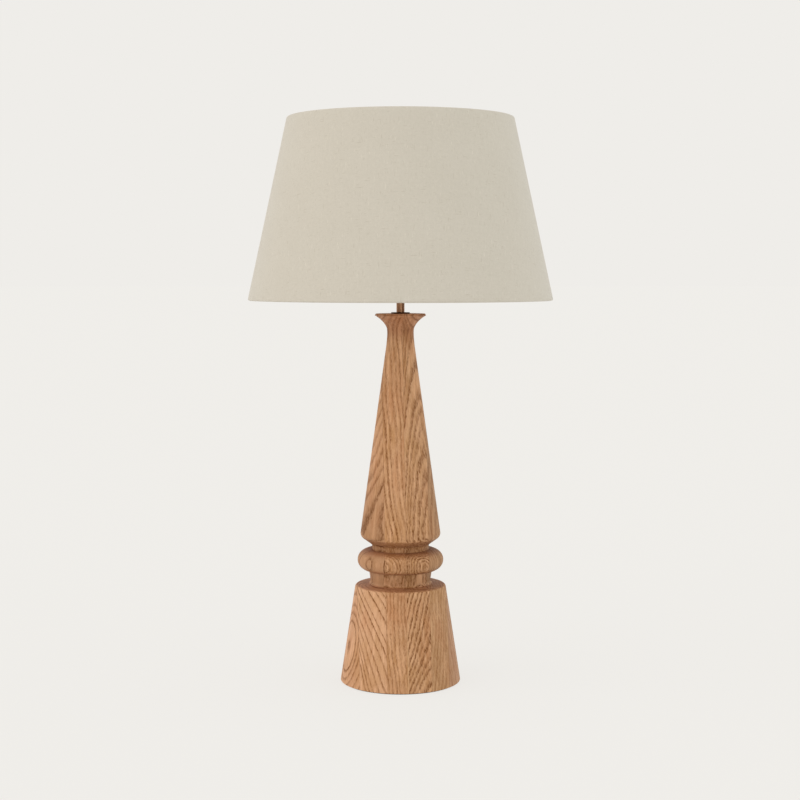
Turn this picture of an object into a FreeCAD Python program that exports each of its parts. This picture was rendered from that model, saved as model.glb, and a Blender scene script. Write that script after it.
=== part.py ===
import FreeCAD, Part
import os
from math import sin, cos, pi, radians, degrees, sqrt, atan2, asin, acos, hypot
from FreeCAD import Vector as V, Placement, Rotation

os.makedirs("parts", exist_ok=True)

# ---------------------------------------------------------------------------
# Column table lamp.  Millimetres, +Z up, origin on the floor under the axis.
# The front is -Y, the cable inlet is at the back, +Y.
# ---------------------------------------------------------------------------

# --- driving dimensions ----------------------------------------------------
FELT_T = 1.5              # felt pad under the foot
FELT_R = 86.0
Z0 = FELT_T               # underside of the wood

# turned column, heights above the underside of the wood
FOOT_R = 89.9             # radius of the foot at the floor
FOOT_TAPER = 0.155        # loss of radius per mm of height
FOOT_H = 145.0            # height of the foot's shoulder
FOOT_ROUND = 4.6          # rounding of that shoulder
FOOT_EDGE = 1.2           # rounding of the lower edge
SHELF_RISE = 1.9          # rise of the shelf from shoulder to neck
LOW_NECK_R = 44.8
BEAD_Z, BEAD_R = 182.4, 64.05
BEAD_A, BEAD_B, BEAD_P = 19.3, 16.0, 2.095   # half width, half height, squareness
HIGH_NECK_R = 42.4
CONE_FOOT_Z = 205.5       # where the upper neck meets the cone's underside
CONE_SHOULDER_Z = 218.3
CONE_ROUND = 9.0
COVE_R = 5.4
CONE_R0, CONE_Z0, CONE_TAPER = 59.27, 225.5, 0.1381
THROAT_Z, THROAT_R = 521.0, 18.9
CAP_A, CAP_B = 79.5, 40.0 # ellipse of the flared cap
RIM_R, RIM_Z = 37.2, 547.1
COLUMN_H = 549.5

# laminated blank: glue planes, measured along the boards' common normal
LAM_ANGLE = 7.0
LAM_PLANES = [-66.9, -29.4, 0.6, 36.4, 66.0]

# bore, recess under the foot, cable inlet
BORE_R = 5.5
RECESS_R, RECESS_H = 32.0, 30.0
INLET_Z = 14.0
INLET_R = 5.6
INLET_SEAT_Y = 85.7
INLET_SEAT_R = 8.3
BUSH_BORE_R = 4.0

# threaded rod and what stands on the column
ROD_R, ROD_BORE_R = 4.95, 3.75
COLLAR_R, COLLAR_T = 13.9, 2.0
SPACER_R, SPACER_BORE_R, SPACER_H = 6.0, 5.15, 19.0

# lampholder
DOME_H = 32.0
HOLDER_R = 19.75
SKIRT_H = 44.0
RING_T = 5.0
RING_R = 27.0
FITTER_T = 2.0
FITTER_RI, FITTER_RO = 21.0, 29.5
SWITCH_R = 2.4
SWITCH_TRAVEL = 5.0
SWITCH_OUT = 10.5

# shade
SHADE_RB, SHADE_ZB = 225.0, 571.1
SHADE_RT, SHADE_ZT = 166.5, 837.9
FABRIC_T, LINER_T = 0.7, 0.4
WIRE_R = 1.5
ARM_R = 1.7

# bulb
BULB_R = 30.0
BULB_H = 106.0
BULB_CAP_R = 13.05

out = {}


# --- helpers -----------------------------------------------------------------
def P(r, z):
    return V(r, 0, z)


def line(a, b):
    return Part.LineSegment(a, b).toShape()


def arc3(a, b, c):
    return Part.Arc(a, b, c).toShape()


def revolve(edges):
    face = Part.Face(Part.Wire(edges))
    s = face.revolve(V(0, 0, 0), V(0, 0, 1), 360)
    if s.ShapeType != "Solid":
        s = Part.Solid(s.Shells[0])
    if s.Volume < 0:
        s.reverse()
    return s


def poly(points):
    """closed profile of straight edges"""
    e = []
    for i in range(len(points)):
        a, b = points[i], points[(i + 1) % len(points)]
        e.append(line(P(*a), P(*b)))
    return e


def rounded(points, radii):
    """closed profile of straight edges whose corners are rounded by tangent arcs"""
    n = len(points)
    cut = []
    for i in range(n):
        b = points[i]
        r = radii[i]
        if r <= 0:
            cut.append((b, None, b))
            continue
        a, c = points[i - 1], points[(i + 1) % n]
        u = (a[0] - b[0], a[1] - b[1])
        v = (c[0] - b[0], c[1] - b[1])
        lu, lv = hypot(*u), hypot(*v)
        u = (u[0] / lu, u[1] / lu)
        v = (v[0] / lv, v[1] / lv)
        ang = acos(max(-1, min(1, u[0] * v[0] + u[1] * v[1])))
        L = r / (sin(ang / 2) / cos(ang / 2))
        p = (b[0] + u[0] * L, b[1] + u[1] * L)
        q = (b[0] + v[0] * L, b[1] + v[1] * L)
        w = (u[0] + v[0], u[1] + v[1])
        lw = hypot(*w)
        h = r / sin(ang / 2)
        m = (b[0] + w[0] / lw * (h - r), b[1] + w[1] / lw * (h - r))
        cut.append((p, m, q))
    e = []
    for i in range(n):
        p, m, q = cut[i]
        if m is not None:
            e.append(arc3(P(*p), P(*m), P(*q)))
        nxt = cut[(i + 1) % n][0]
        if hypot(q[0] - nxt[0], q[1] - nxt[1]) > 1e-6:
            e.append(line(P(*q), P(*nxt)))
    return e


def cyl(r, h, at=(0, 0, 0), d=(0, 0, 1)):
    return Part.makeCylinder(r, h, V(*at), V(*d))


def box(x0, y0, z0, x1, y1, z1):
    return Part.makeBox(x1 - x0, y1 - y0, z1 - z0, V(x0, y0, z0))


def hexagon(af, h, z):
    r = af / 2 / cos(pi / 6)
    pts = [V(r * cos(radians(60 * k)), r * sin(radians(60 * k)), z) for k in range(7)]
    prism = Part.Face(Part.makePolygon(pts)).extrude(V(0, 0, h))
    # the usual turned chamfer on both faces
    c = revolve(poly([(0, z), (af / 2 * 0.98, z), (r + 0.2, z + 0.9), (r + 0.2, z + h - 0.9),
                      (af / 2 * 0.98, z + h), (0, z + h)]))
    return prism.common(c)


def knurl(solid, r, z0, z1, n, depth):
    """straight notches round a rim"""
    cuts = []
    for k in range(n):
        a = 2 * pi * k / n
        cuts.append(cyl(depth * 1.25, z1 - z0 + 2, (r * cos(a) + depth * 0.35 * cos(a),
                                                  r * sin(a) + depth * 0.35 * sin(a), z0 - 1)))
    return solid.cut(cuts)


def single(shape):
    s = shape.Solids
    if len(s) == 1:
        return s[0]
    return Part.makeCompound(s)


# --- column ------------------------------------------------------------------
def cone_r(z):
    return CONE_R0 + CONE_TAPER * (CONE_Z0 - z)


def corner(a, b, c, r):
    """tangent points and mid point of a round of radius r at b"""
    u = (a[0] - b[0], a[1] - b[1])
    v = (c[0] - b[0], c[1] - b[1])
    lu, lv = hypot(*u), hypot(*v)
    u = (u[0] / lu, u[1] / lu)
    v = (v[0] / lv, v[1] / lv)
    ang = acos(u[0] * v[0] + u[1] * v[1])
    L = r / (sin(ang / 2) / cos(ang / 2))
    w = (u[0] + v[0], u[1] + v[1])
    lw = hypot(*w)
    h = r / sin(ang / 2)
    return ((b[0] + u[0] * L, b[1] + u[1] * L),
            (b[0] + w[0] / lw * (h - r), b[1] + w[1] / lw * (h - r)),
            (b[0] + v[0] * L, b[1] + v[1] * L))


def arc_from(p, t, q):
    """edge from p to q that leaves p along t: an arc, or a line where it is straight"""
    dx, dy = q[0] - p[0], q[1] - p[1]
    n = (-t[1], t[0])
    k = dx * n[0] + dy * n[1]
    if abs(k) < 1e-6:
        return line(P(*p), P(*q))
    rad = (dx * dx + dy * dy) / (2 * k)
    c = (p[0] + n[0] * rad, p[1] + n[1] * rad)
    a0 = atan2(p[1] - c[1], p[0] - c[0])
    a1 = atan2(q[1] - c[1], q[0] - c[0])
    d = (a1 - a0) % (2 * pi)
    if rad < 0:
        d -= 2 * pi
    m = a0 + d / 2
    return arc3(P(*p), P(c[0] + abs(rad) * cos(m), c[1] + abs(rad) * sin(m)), P(*q))


def biarc(p, t, q, u):
    """two tangent arcs from p along t to q along u"""
    v = (q[0] - p[0], q[1] - p[1])
    w = (t[0] + u[0], t[1] + u[1])
    vv, vw = v[0] ** 2 + v[1] ** 2, v[0] * w[0] + v[1] * w[1]
    k = 1 - (t[0] * u[0] + t[1] * u[1])
    d = (-vw + sqrt(vw * vw + 2 * k * vv)) / (2 * k) if k > 1e-9 else vv / (2 * vw)
    a = (p[0] + d * t[0], p[1] + d * t[1])
    b = (q[0] - d * u[0], q[1] - d * u[1])
    m = ((a[0] + b[0]) / 2, (a[1] + b[1]) / 2)
    l = hypot(b[0] - a[0], b[1] - a[1])
    tm = ((b[0] - a[0]) / l, (b[1] - a[1]) / l)
    return [arc_from(p, t, m), arc_from(m, tm, q)]


def curve_arcs(f, params):
    """tangent arcs along the plane curve f(param)"""
    pts, tans = [], []
    for k in params:
        h = 1e-4
        lo, hi = max(k - h, params[0]), min(k + h, params[-1])
        p0, p1 = f(lo), f(hi)
        l = hypot(p1[0] - p0[0], p1[1] - p0[1])
        pts.append(f(k))
        tans.append(((p1[0] - p0[0]) / l, (p1[1] - p0[1]) / l))
    e = []
    for i in range(len(pts) - 1):
        e += biarc(pts[i], tans[i], pts[i + 1], tans[i + 1])
    return e, pts, tans


def bead_point(deg):
    c, s = cos(radians(deg)), sin(radians(deg))
    return (BEAD_R - BEAD_A + BEAD_A * max(c, 0.0) ** (2 / BEAD_P),
            BEAD_Z + BEAD_B * (1 if s >= 0 else -1) * abs(s) ** (2 / BEAD_P))


def cap_point(k):
    """flared cap, k = height above the throat over the ellipse's half height"""
    return (THROAT_R + CAP_A * (1 - sqrt(1 - k * k)), THROAT_Z + CAP_B * k)


edges = []
foot = (FOOT_R, 0.0)
sh = (FOOT_R - FOOT_TAPER * FOOT_H, FOOT_H)
neck0 = (LOW_NECK_R, FOOT_H + SHELF_RISE)
bead_in = BEAD_R - BEAD_A
neck1 = (LOW_NECK_R, BEAD_Z - BEAD_B)
bead_edges, bp, bt = curve_arcs(bead_point, [-84.0, -45.0, 0.0, 45.0, 84.0])
e0 = corner((0.0, 0.0), foot, sh, FOOT_EDGE)
e1 = corner(foot, sh, neck0, FOOT_ROUND)
e2 = corner(sh, neck0, neck1, COVE_R)
edges.append(line(P(0, 0), P(*e0[0])))
edges.append(arc3(P(*e0[0]), P(*e0[1]), P(*e0[2])))
edges.append(line(P(*e0[2]), P(*e1[0])))
edges.append(arc3(P(*e1[0]), P(*e1[1]), P(*e1[2])))
edges.append(line(P(*e1[2]), P(*e2[0])))
edges.append(arc3(P(*e2[0]), P(*e2[1]), P(*e2[2])))
edges.append(line(P(*e2[2]), P(*bp[0])))
edges += bead_edges
neck2 = (HIGH_NECK_R, BEAD_Z + BEAD_B)
under = (HIGH_NECK_R, CONE_FOOT_Z)
shoulder = (cone_r(CONE_SHOULDER_Z), CONE_SHOULDER_Z)
cone_end = (cone_r(511.0), 511.0)
e3 = corner(neck2, under, shoulder, min(COVE_R, 5.0))
e4 = corner(under, shoulder, cone_end, CONE_ROUND)
edges.append(line(P(*bp[-1]), P(*neck2)))
edges.append(line(P(*neck2), P(*e3[0])))
edges.append(arc3(P(*e3[0]), P(*e3[1]), P(*e3[2])))
edges.append(line(P(*e3[2]), P(*e4[0])))
edges.append(arc3(P(*e4[0]), P(*e4[1]), P(*e4[2])))
edges.append(line(P(*e4[2]), P(*cone_end)))
k_end = (RIM_Z - THROAT_Z) / CAP_B
cap_edges, cp, ctan = curve_arcs(cap_point, [0.06, 0.25, 0.45, k_end])
tl = hypot(CONE_TAPER, 1.0)
edges += biarc(cone_end, (-CONE_TAPER / tl, 1.0 / tl), cp[0], ctan[0])
edges += cap_edges
rim_in = cp[-1]
r0 = (RIM_R, RIM_Z + 0.9)
r1 = (RIM_R - 0.05, COLUMN_H - 0.9)
r2 = (RIM_R - 0.95, COLUMN_H)
edges.append(line(P(*rim_in), P(*r0)))
edges.append(line(P(*r0), P(*r1)))
edges.append(arc3(P(*r1), P(RIM_R - 0.31, COLUMN_H - 0.26), P(*r2)))
edges.append(line(P(*r2), P(0, COLUMN_H)))
edges.append(line(P(0, COLUMN_H), P(0, 0)))
# turned as two halves, so that each face has an edge along the middle of the outer boards
profile = Part.Face(Part.Wire(edges))
half_a = profile.revolve(V(0, 0, 0), V(0, 0, 1), 180)
half_b = profile.revolve(V(0, 0, 0), V(0, 0, 1), -180)
halves = []
for h in (half_a, half_b):
    if h.Volume < 0:
        h.reverse()
    halves.append(h)
column = halves[0].fuse(halves[1])
column.Placement = Placement(V(0, 0, Z0), Rotation(V(0, 0, 1), LAM_ANGLE))

ZT = Z0 + COLUMN_H
INLET = Z0 + INLET_Z
column = column.cut(cyl(BORE_R, ZT + 10, (0, 0, -5)))
recess = revolve(rounded([(0, 0), (RECESS_R, 0), (RECESS_R, Z0 + RECESS_H), (0, Z0 + RECESS_H)],
                         [0, 0, 2.0, 0]))
column = column.cut(recess)
column = column.cut(cyl(INLET_R, 100, (0, 0, INLET), (0, 1, 0)))
column = column.cut(cyl(INLET_SEAT_R, 20, (0, INLET_SEAT_Y, INLET), (0, 1, 0)))

cuts = [-120.0] + LAM_PLANES + [120.0]
rot = Placement(V(0, 0, 0), Rotation(V(0, 0, 1), LAM_ANGLE))
# above CAP_SPLIT_Z the rim reaches only a hair past the glue plane on the right,
# so there the board inside that plane keeps the whole edge
CAP_SPLIT_Z = 480.0
for i in range(len(cuts) - 1):
    top = CAP_SPLIT_Z if i == 4 else 700
    slab = box(cuts[i], -150, -10, cuts[i + 1], 150, top)
    if i == 3:
        slab = slab.fuse(box(cuts[i], -150, CAP_SPLIT_Z, 120, 150, 700)).removeSplitter()
    slab.Placement = rot
    out["column_board_%d" % (i + 1)] = single(column.common(slab))

# --- foot hardware -------------------------------------------------------------
out["felt_pad"] = revolve(rounded([(0, 0), (FELT_R, 0), (FELT_R, FELT_T), (0, FELT_T)],
                                  [0, 0.4, 0, 0]))
zr = Z0 + RECESS_H
out["bottom_washer"] = revolve(rounded([(5.2, zr - 2.0), (15.0, zr - 2.0), (15.0, zr), (5.2, zr)],
                                       [0, 0.4, 0.4, 0]))
lock = revolve(poly([(5.1, zr - 2.8), (8.6, zr - 2.8), (8.6, zr - 2.0), (5.1, zr - 2.0)]))
teeth = []
for k in range(12):
    a = 2 * pi * (k + 0.5) / 12
    teeth.append(cyl(0.75, 2, (8.6 * cos(a), 8.6 * sin(a), zr - 3.4)))
out["lock_washer"] = single(lock.cut(teeth))
nut = hexagon(14.0, 5.0, zr - 7.8).cut(cyl(ROD_R + 0.03, 20, (0, 0, zr - 15)))
out["bottom_nut"] = single(nut)
rod_z0 = zr - 11.5
dome_z0 = ZT + COLLAR_T + SPACER_H
rod_z1 = dome_z0 + 6.5
out["threaded_rod"] = revolve(rounded([(ROD_BORE_R, rod_z0), (ROD_R, rod_z0), (ROD_R, rod_z1),
                                       (ROD_BORE_R, rod_z1)], [0.25, 0.6, 0.6, 0.25]))

bush_len = 16.0
bush = [cyl(INLET_R - 0.02, bush_len, (0, INLET_SEAT_Y - bush_len, INLET), (0, 1, 0))]
fl = revolve(rounded([(0, 0), (INLET_SEAT_R - 0.3, 0), (INLET_SEAT_R - 0.3, 2.0), (0, 2.0)],
                     [0, 0, 0.9, 0]))
fl.Placement = Placement(V(0, INLET_SEAT_Y, INLET), Rotation(V(0, 0, 1), V(0, 1, 0)))
b = bush[0].fuse(fl).removeSplitter()
b = b.cut(cyl(BUSH_BORE_R, 60, (0, INLET_SEAT_Y - 40, INLET), (0, 1, 0)))
out["cable_inlet_bush"] = single(b)

# --- plate and stem on the column ----------------------------------------------
out["collar_plate"] = revolve(rounded([(5.15, ZT), (COLLAR_R, ZT), (COLLAR_R, ZT + COLLAR_T),
                                       (5.15, ZT + COLLAR_T)], [0, 0.25, 0.7, 0]))
zs = ZT + COLLAR_T
out["spacer_tube"] = revolve(rounded([(SPACER_BORE_R, zs), (SPACER_R, zs), (SPACER_R, zs + SPACER_H),
                                      (SPACER_BORE_R, zs + SPACER_H)], [0, 0.3, 0.3, 0]))

# --- lampholder ------------------------------------------------------------------
d0 = dome_z0
d1 = d0 + DOME_H
sw_z = d1 - 9.0
dome = revolve(rounded([(ROD_R + 0.03, d0), (8.2, d0), (8.2, d0 + 6.0), (20.6, d0 + 16.5),
                        (20.6, d1), (19.3, d1), (19.3, d0 + 17.1), (8.6, d0 + 8.0),
                        (ROD_R + 0.03, d0 + 8.0)],
                       [0, 0.6, 2.2, 6.0, 0.4, 0, 5.0, 0, 0]))
dome = dome.cut(cyl(SWITCH_R + 0.1, 60, (-30, 0, sw_z), (1, 0, 0)))
dome = dome.cut(cyl(1.55, 10, (0, 3.0, d0 + 3.4), (0, 1, 0)))
dome = dome.cut(cyl(1.45, 12, (0, -12.0, sw_z - 0.5), (0, -1, 0)))
out["holder_dome"] = single(dome)
grub = cyl(1.5, 4.2, (0, ROD_R + 0.05, d0 + 3.4), (0, 1, 0))
grub = grub.cut(box(-2, ROD_R + 3.35, d0 + 3.4 - 0.25, 2, ROD_R + 6, d0 + 3.4 + 0.25))
out["dome_grub_screw"] = single(grub)
es = cyl(1.4, 5.4, (0, -14.6, sw_z - 0.5), (0, -1, 0))
es = es.fuse(cyl(2.6, 1.5, (0, -16.2, sw_z - 0.5), (0, 1, 0))).removeSplitter()
es = es.cut(box(-3, -15.2, sw_z - 0.8, 3, -14.5, sw_z - 0.2))
out["earth_screw"] = single(es)

# terminal block between dome and skirt, with the switch below it
tb0 = d1 - 4.0
tb1 = d1 + 8.0
tb = revolve(rounded([(0, tb0), (19.2, tb0), (19.2, d1), (17.9, d1), (17.9, d1 + 3.0), (17.2, d1 + 3.0),
                      (17.2, tb1), (0, tb1)], [0, 0.5, 0, 0, 0, 0, 0.5, 0]))
tx = 10.5
for sx in (-1, 1):
    tb = tb.cut(cyl(2.2, 5.0, (sx * tx, 8.0, tb0 - 1)))
    tb = tb.cut(cyl(1.55, 9.5, (sx * tx, 8.0, tb0 - 1)))
tb = tb.cut(cyl(5.2, 3.0, (0, 0, tb1 - 3.0)))
out["terminal_block"] = single(tb)
ts = []
for sx in (-1, 1):
    s = cyl(1.5, 7.5, (sx * tx, 8.0, tb0 + 0.9))
    s = s.fuse(cyl(2.1, 2.4, (sx * tx, 8.0, tb0 + 0.9))).removeSplitter()
    s = s.cut(box(sx * tx - 3, 7.7, tb0 + 0.5, sx * tx + 3, 8.3, tb0 + 1.6))
    ts.append(single(s))
out["terminal_screws"] = Part.makeCompound(ts)

# push bar: it stands out on both sides and slides 5 mm to either state
bar_half = 20.6 + SWITCH_OUT
bx0 = -bar_half - SWITCH_TRAVEL / 2
bar = revolve(rounded([(0, 0), (SWITCH_R, 0), (SWITCH_R, 2 * bar_half), (0, 2 * bar_half)],
                      [0, 1.6, 1.6, 0]))
bar.Placement = Placement(V(bx0, 0, sw_z), Rotation(V(0, 0, 1), V(1, 0, 0)))
out["switch_bar"] = single(bar)
mx = -SWITCH_TRAVEL / 2
saddle = box(mx - 4.5, -3.6, sw_z - 3.4, mx + 4.5, 3.6, sw_z + 3.4)
saddle = saddle.cut(cyl(SWITCH_R, 60, (-30, 0, sw_z), (1, 0, 0)))
out["switch_bridge"] = single(saddle.makeFillet(0.5, [e for e in saddle.Edges if e.Curve.TypeId == "Part::GeomLine"
                                                    and abs(e.Length - 9.0) < 0.01]))
ct = []
for sx in (-1, 1):
    # spring leaf under the block on each side of the bridge's travel
    leaf = box(sx * 10.0 - 2.9, -2.5, tb0 - 0.5, sx * 10.0 + 2.9, 2.5, tb0)
    tab = box(sx * 7.35 - 0.25, -2.5, tb0 - 2.6, sx * 7.35 + 0.25, 2.5, tb0)
    bore = cyl(SWITCH_R + 0.5, 60, (-30, 0, sw_z), (1, 0, 0))
    ct.append(single(leaf.fuse(tab).removeSplitter().cut(bore)))
out["switch_contacts"] = Part.makeCompound(ct)

# contacts, screw shell, sleeve
cc_top = tb1 + 1.2
cc = revolve(poly([(0, tb1 - 3.0), (4.0, tb1 - 3.0), (4.0, tb1 - 2.4), (2.2, tb1 - 2.4),
                   (2.2, cc_top - 0.5), (3.4, cc_top - 0.5), (3.4, cc_top), (0, cc_top)]))
out["centre_contact"] = single(cc)
shell_z0, shell_z1 = tb1 + 0.5, tb1 + 28.0
shell_ri = BULB_CAP_R + 0.22
out["screw_shell"] = revolve(rounded([(shell_ri, shell_z0), (shell_ri + 0.45, shell_z0),
                                      (shell_ri + 0.45, shell_z1), (shell_ri, shell_z1)],
                                     [0, 0, 0.2, 0.2]))
sc = box(-2.5, 9.0, tb1, 2.5, shell_ri + 0.45, tb1 + 0.5)
out["side_contact"] = single(sc)
sl_ri = shell_ri + 0.47
sleeve = revolve(rounded([(sl_ri, tb1 + 0.5), (16.4, tb1 + 0.5), (16.4, tb1 + 30.0), (14.4, tb1 + 32.5),
                          (sl_ri + 0.1, tb1 + 32.5), (sl_ri, tb1 + 30.0)],
                         [0, 0, 1.0, 0.3, 0, 0]))
out["insulating_sleeve"] = single(sleeve)
s0 = d1
s1 = d1 + SKIRT_H
skirt = revolve(rounded([(18.0, s0), (21.4, s0), (21.4, s0 + 3.0), (HOLDER_R, s0 + 3.0), (HOLDER_R, s1 - 1.0),
                         (17.6, s1), (14.9, s1), (14.9, s1 - 1.0), (17.0, s1 - 2.0), (18.0, s1 - 3.2)],
                        [0, 0.5, 0.5, 0, 0.8, 0.8, 0.4, 0.3, 0.3, 0.6]))
out["holder_skirt"] = single(skirt)

# --- shade rings ------------------------------------------------------------------
ring_ri = HOLDER_R + 0.08
lr0 = s0 + 3.0
lr1 = lr0 + RING_T
fr0, fr1 = lr1, lr1 + FITTER_T
ur0, ur1 = fr1, fr1 + RING_T


def shade_ring(z0, z1, up):
    # flange against the fitter, hub away from it
    if up:
        prof = [(ring_ri, z0), (RING_R, z0), (RING_R, z0 + 2.6), (23.6, z0 + 3.0), (23.2, z1), (ring_ri, z1)]
        rad = [0, 0.4, 0.5, 0.6, 0.5, 0.3]
        k0, k1 = z0 - 0.2, z0 + 2.9
    else:
        prof = [(ring_ri, z0), (23.2, z0), (23.6, z1 - 3.0), (RING_R, z1 - 2.6), (RING_R, z1), (ring_ri, z1)]
        rad = [0.3, 0.5, 0.6, 0.5, 0.4, 0]
        k0, k1 = z1 - 2.9, z1 + 0.2
    s = revolve(rounded(prof, rad))
    return single(knurl(s, RING_R + 0.35, k0, k1, 36, 0.75))


out["lower_shade_ring"] = shade_ring(lr0, lr1, False)
out["upper_shade_ring"] = shade_ring(ur0, ur1, True)

# --- shade ------------------------------------------------------------------------
dr, dz = SHADE_RB - SHADE_RT, SHADE_ZT - SHADE_ZB
SL = hypot(dr, dz)
th = atan2(dr, dz)


def S(s, n):
    """point at slant length s above the lower edge, n inside the outer face"""
    return P(SHADE_RB - s * sin(th) - n * cos(th), SHADE_ZB + s * cos(th) - n * sin(th))


def tangent_touch(c, rho, p, side):
    """touch point of the tangent from p to a circle, on the given side"""
    dx, dy = p[0] - c[0], p[1] - c[1]
    d = hypot(dx, dy)
    a = acos(rho / d)
    base = atan2(dy, dx)
    return (c[0] + rho * cos(base + side * a), c[1] + rho * sin(base + side * a))


ro = WIRE_R + FABRIC_T
ri = WIRE_R
FOLD0, FOLD1 = 7.6, 13.0      # where the turned-in fabric meets the liner, and where it ends
n_in = FABRIC_T + LINER_T
n_out = n_in + FABRIC_T


def hook(s_end, sgn):
    """points of the rolled edge; sgn +1 at the lower edge, -1 at the upper edge"""
    c = (s_end + sgn * ro, ro)
    po = (s_end + sgn * (FOLD0 + 0.2), n_out)
    pi_ = (s_end + sgn * FOLD0, n_in)
    to = tangent_touch(c, ro, po, -1 if sgn < 0 else 1)
    ti = tangent_touch(c, ri, pi_, -1 if sgn < 0 else 1)
    return c, po, pi_, to, ti


def fabric_edges():
    e = []
    cb, pob, pib, tob, tib = hook(0.0, 1)
    ct_, pot, pit, tot, tit = hook(SL, -1)
    # outer face, lower to upper
    a = (cb[0], 0.0)
    b_ = (ct_[0], 0.0)
    e.append(line(S(*a), S(*b_)))

    def arc_mid(c, r, p, q, via):
        a0 = atan2(p[1] - c[1], p[0] - c[0])
        a1 = atan2(q[1] - c[1], q[0] - c[0])
        av = atan2(via[1] - c[1], via[0] - c[0])
        for sign in (1, -1):
            d1 = (sign * (a1 - a0)) % (2 * pi)
            dv = (sign * (av - a0)) % (2 * pi)
            if dv < d1:
                m = a0 + sign * d1 / 2
                return (c[0] + r * cos(m), c[1] + r * sin(m))
    far_t = (SL + 5, ro)
    e.append(arc3(S(*b_), S(*arc_mid(ct_, ro, b_, tot, far_t)), S(*tot)))
    e.append(line(S(*tot), S(*pot)))
    e.append(line(S(*pot), S(SL - FOLD1, n_out)))
    e.append(line(S(SL - FOLD1, n_out), S(SL - FOLD1, n_in)))
    e.append(line(S(SL - FOLD1, n_in), S(*pit)))
    e.append(line(S(*pit), S(*tit)))
    it = (ct_[0], FABRIC_T)
    e.append(arc3(S(*tit), S(*arc_mid(ct_, ri, tit, it, far_t)), S(*it)))
    ib = (cb[0], FABRIC_T)
    e.append(line(S(*it), S(*ib)))
    far_b = (-5, ro)
    e.append(arc3(S(*ib), S(*arc_mid(cb, ri, ib, tib, far_b)), S(*tib)))
    e.append(line(S(*tib), S(*pib)))
    e.append(line(S(*pib), S(FOLD1, n_in)))
    e.append(line(S(FOLD1, n_in), S(FOLD1, n_out)))
    e.append(line(S(FOLD1, n_out), S(*pob)))
    e.append(line(S(*pob), S(*tob)))
    e.append(arc3(S(*tob), S(*arc_mid(cb, ro, tob, a, far_b)), S(*a)))
    return e, cb, ct_


fe, cb, ct_ = fabric_edges()
fabric = revolve(fe)
wb, wt = S(*cb), S(*ct_)
bottom_ring = Part.makeTorus(wb.x, WIRE_R, V(0, 0, wb.z), V(0, 0, 1))
top_ring = Part.makeTorus(wt.x, WIRE_R, V(0, 0, wt.z), V(0, 0, 1))
out["bottom_wire_ring"] = single(bottom_ring)
out["top_wire_ring"] = single(top_ring)
l0, l1 = cb[0] + WIRE_R + 0.3, ct_[0] - WIRE_R - 0.3
liner = revolve([line(S(l0, FABRIC_T), S(l1, FABRIC_T)), line(S(l1, FABRIC_T), S(l1, n_in)),
                 line(S(l1, n_in), S(l0, n_in)), line(S(l0, n_in), S(l0, FABRIC_T))])

# spider: three wires from the fitter ring down to the lower ring
fz = (fr0 + fr1) / 2
fitter = revolve(rounded([(FITTER_RI, fr0), (FITTER_RO, fr0), (FITTER_RO, fr1), (FITTER_RI, fr1)],
                         [0.3, 0.5, 0.5, 0.3]))
ARM_ANGLES = (30.0, 150.0, 270.0)
bend = (50.0, fz)
a_in = (FITTER_RO - 0.15, fz)
a_out = (wb.x, wb.z)
c_ = corner(a_in, bend, a_out, 30.0)
path = Part.Wire([line(P(*a_in), P(*c_[0])), arc3(P(*c_[0]), P(*c_[1]), P(*c_[2])),
                  line(P(*c_[2]), P(*a_out))])
arms, slots = [], []
for a in ARM_ANGLES:
    def tube(r):
        prof = Part.Wire([Part.Circle(P(*a_in), V(1, 0, 0), r).toShape()])
        w = path.makePipeShell([prof], True, False, 1)
        if w.Volume < 0:
            w.reverse()
        w.Placement = Placement(V(0, 0, 0), Rotation(V(0, 0, 1), a))
        return w
    arm = tube(ARM_R).cut([bottom_ring, fitter])
    arm = sorted(arm.Solids, key=lambda q: -q.Volume)[0]
    arms.append(arm)
    slots.append(tube(ARM_R + 0.35))
out["spider_arms"] = Part.makeCompound(arms)
out["fitter_ring"] = single(fitter)
# the turned-in fabric is slit where the three wires pass; the outer face stays whole
keep = revolve([line(S(-3, -2), S(SL + 3, -2)), line(S(SL + 3, -2), S(SL + 3, FABRIC_T)),
                line(S(SL + 3, FABRIC_T), S(-3, FABRIC_T)), line(S(-3, FABRIC_T), S(-3, -2))])
inner_slots = [s.cut(keep) for s in slots]
out["shade_fabric"] = single(fabric.cut(inner_slots))
out["shade_liner"] = single(liner.cut(inner_slots))

# --- bulb -------------------------------------------------------------------------
b0 = cc_top
out["bulb_contact"] = revolve(rounded([(0, b0), (4.6, b0), (4.6, b0 + 1.4), (0, b0 + 1.4)],
                                      [0, 0.6, 0, 0]))
out["bulb_cap_insulator"] = revolve(poly([(0, b0 + 1.4), (5.4, b0 + 1.4), (11.6, b0 + 4.6), (11.6, b0 + 5.4),
                                          (0, b0 + 5.4)]))
capz0, capz1 = b0 + 4.2, b0 + 28.0
out["bulb_cap"] = revolve(rounded([(11.62, capz0), (12.2, capz0), (BULB_CAP_R, capz0 + 2.2),
                                   (BULB_CAP_R, capz1), (12.45, capz1), (12.45, capz0 + 2.6),
                                   (11.62, capz0 + 1.2)],
                                  [0, 0.2, 0.5, 0.2, 0, 0.3, 0]))
# glass: neck, flare and globe
gz_top = b0 + BULB_H
gc = gz_top - BULB_R
tg = 0.9


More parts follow.
